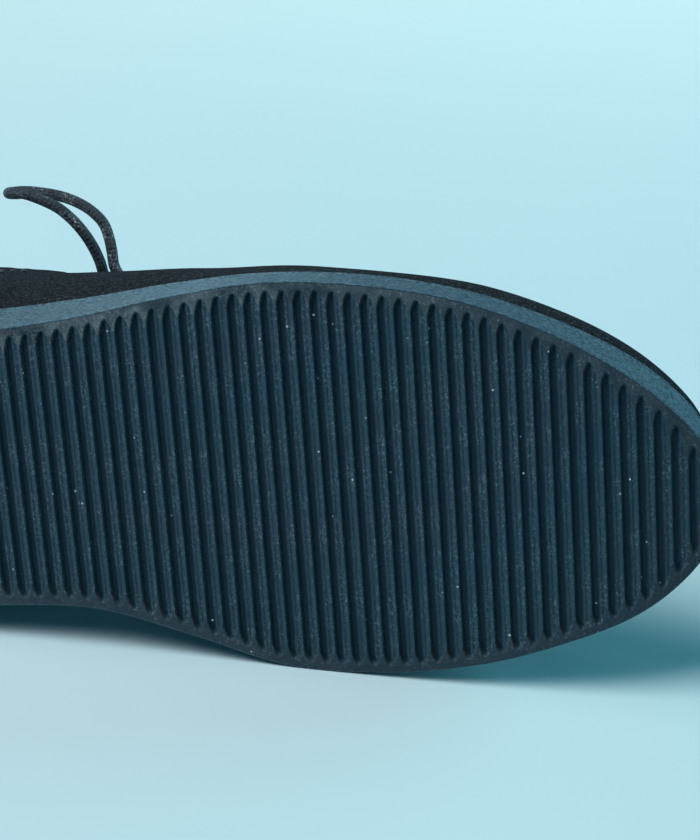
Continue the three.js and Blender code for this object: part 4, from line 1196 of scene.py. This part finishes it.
inside = np.concatenate([sock_plan, sock_base[..., None]], axis=-1)
insole = wall_piece("insole_sock", outside, inside, [woven_lining])
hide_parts("insole")

# Lace bars: the same cord laid straight across the throat, down into an eyelet on each side.
# Each bar bends over the hole's edge, and its end is pressed into the wall under the hole.
BAR_HEIGHT = FACING_GAP + FACING_THICKNESS + LACE_DIAMETER / 2 + 2 * CLEARANCE
# a bar's end: distance towards the throat from the eyelet's middle, height over the upper
dive = np.array([(0.0, -0.6), (0.02, 0.8), (0.25, 2.3), (1.3, 3.4), (3.2, BAR_HEIGHT)])
for row in range(EYELET_ROWS):
    x = FIRST_ROW + row * ROW_SPACING
    turn = turn_of_ridge(x)
    reach = float(throat_half_gap(x) + EYELET_MARGIN)
    distance = np.concatenate([reach - dive[:, 0], [reach - 6.0, 5.0]])
    height = np.concatenate([dive[:, 1], [BAR_HEIGHT, BAR_HEIGHT]])
    rise = rise_from_ridge(np.full(distance.shape, turn), distance)
    outer_half = on_last(2 * np.pi - turn, rise, height)
    inner_half = on_last(turn, rise, height)
    bar_path = smooth_path(np.concatenate([outer_half, inner_half[::-1]]), 90)
    name = f"lace_bar_{row + 1}_cord"
    bar = tube_piece(name, bar_path, LACE_DIAMETER / 2, CORD_SIDES, waxed_cord)
    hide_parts(f"lace_bar_{row + 1}")


# Floor and light: a seamless pale blue-green paper sweep and four soft boxes: the main one above
# and in front on the left, one over the paper behind, a cool one behind on the right that
# brightens the sole's side, and a faint one in front.
PAPER_TONE = tone(168, 208, 217)
SWEEP_FRONT = -3.0
SWEEP_BEND = 2.2
SWEEP_RADIUS = 1.2
SWEEP_TOP = 4.0
SWEEP_HALF_WIDTH = 5.0

arc = np.linspace(0, np.pi / 2, 40)
bend_y = SWEEP_BEND + SWEEP_RADIUS * np.sin(arc)
sweep_y = np.concatenate([[SWEEP_FRONT], bend_y, [SWEEP_BEND + SWEEP_RADIUS]])
sweep_z = np.concatenate([[0.0], SWEEP_RADIUS * (1 - np.cos(arc)), [SWEEP_TOP]])
sweep = np.stack(np.broadcast_arrays(
    np.array([-SWEEP_HALF_WIDTH, SWEEP_HALF_WIDTH])[None, :], sweep_y[:, None], sweep_z[:, None],
), axis=-1).reshape(-1, 3)
paper_finish = Finish("paper_sweep")
paper = paper_finish.cover(
    Base_Color=PAPER_TONE,
    Roughness=0.9,
    Normal=paper_finish.bump(paper_finish.noise(60.0, 3.0), 0.0002),
)
sweep_mesh = bpy.data.meshes.new("paper_sweep")
sweep_mesh.from_pydata(sweep.tolist(), [], grid_faces(len(sweep_y), 2).tolist())
sweep_mesh.materials.append(paper)
sweep_mesh.polygons.foreach_set("use_smooth", np.ones(len(sweep_mesh.polygons), bool))
sweep_piece = add_object("paper_sweep", sweep_mesh)


def soft_box(name, at, towards, size, power, colour, spread=180.0):
    """A rectangular lamp of a given size at one point, turned towards another. Its beam's full
    angle is given in degrees."""
    lamp = bpy.data.lights.new(name, "AREA")
    lamp.shape = "RECTANGLE"
    lamp.size, lamp.size_y = size
    lamp.energy = power
    lamp.color = colour
    lamp.spread = np.radians(spread)
    away = unit(np.array(at) - towards)
    side = unit(np.cross((0.0, 0.0, 1.0), away) + (1e-6, 0, 0))
    stand(add_object(name, lamp), at, side, away)


soft_box("light_above", (-0.68, -0.55, 1.5), (0.0, 0.0, 0.0), (1.3, 1.3), 44.5, (1.0, 0.86, 0.84))
soft_box("light_on_paper", (-0.05, 1.1, 1.5), (-0.05, 1.1, 0.0), (1.6, 0.7), 4.9, (1.0, 0.8, 0.7), 66.0)
soft_box("light_right", (1.25, 0.8, 0.55), (0.1, 0.0, 0.0), (0.9, 0.6), 15.0, (0.3, 0.8, 0.92))
soft_box("light_front", (-0.9, -1.4, 0.6), (0.0, 0.0, 0.0), (1.0, 1.0), 1.4, (0.5, 0.85, 1.0))

world = bpy.data.worlds.new("pale_room")
world.use_nodes = True
world.node_tree.nodes["Background"].inputs["Color"].default_value = (0.05, 0.75, 1.0, 1.0)
world.node_tree.nodes["Background"].inputs["Strength"].default_value = 0.1
bpy.context.scene.world = world
bpy.context.scene.view_settings.view_transform = "Standard"
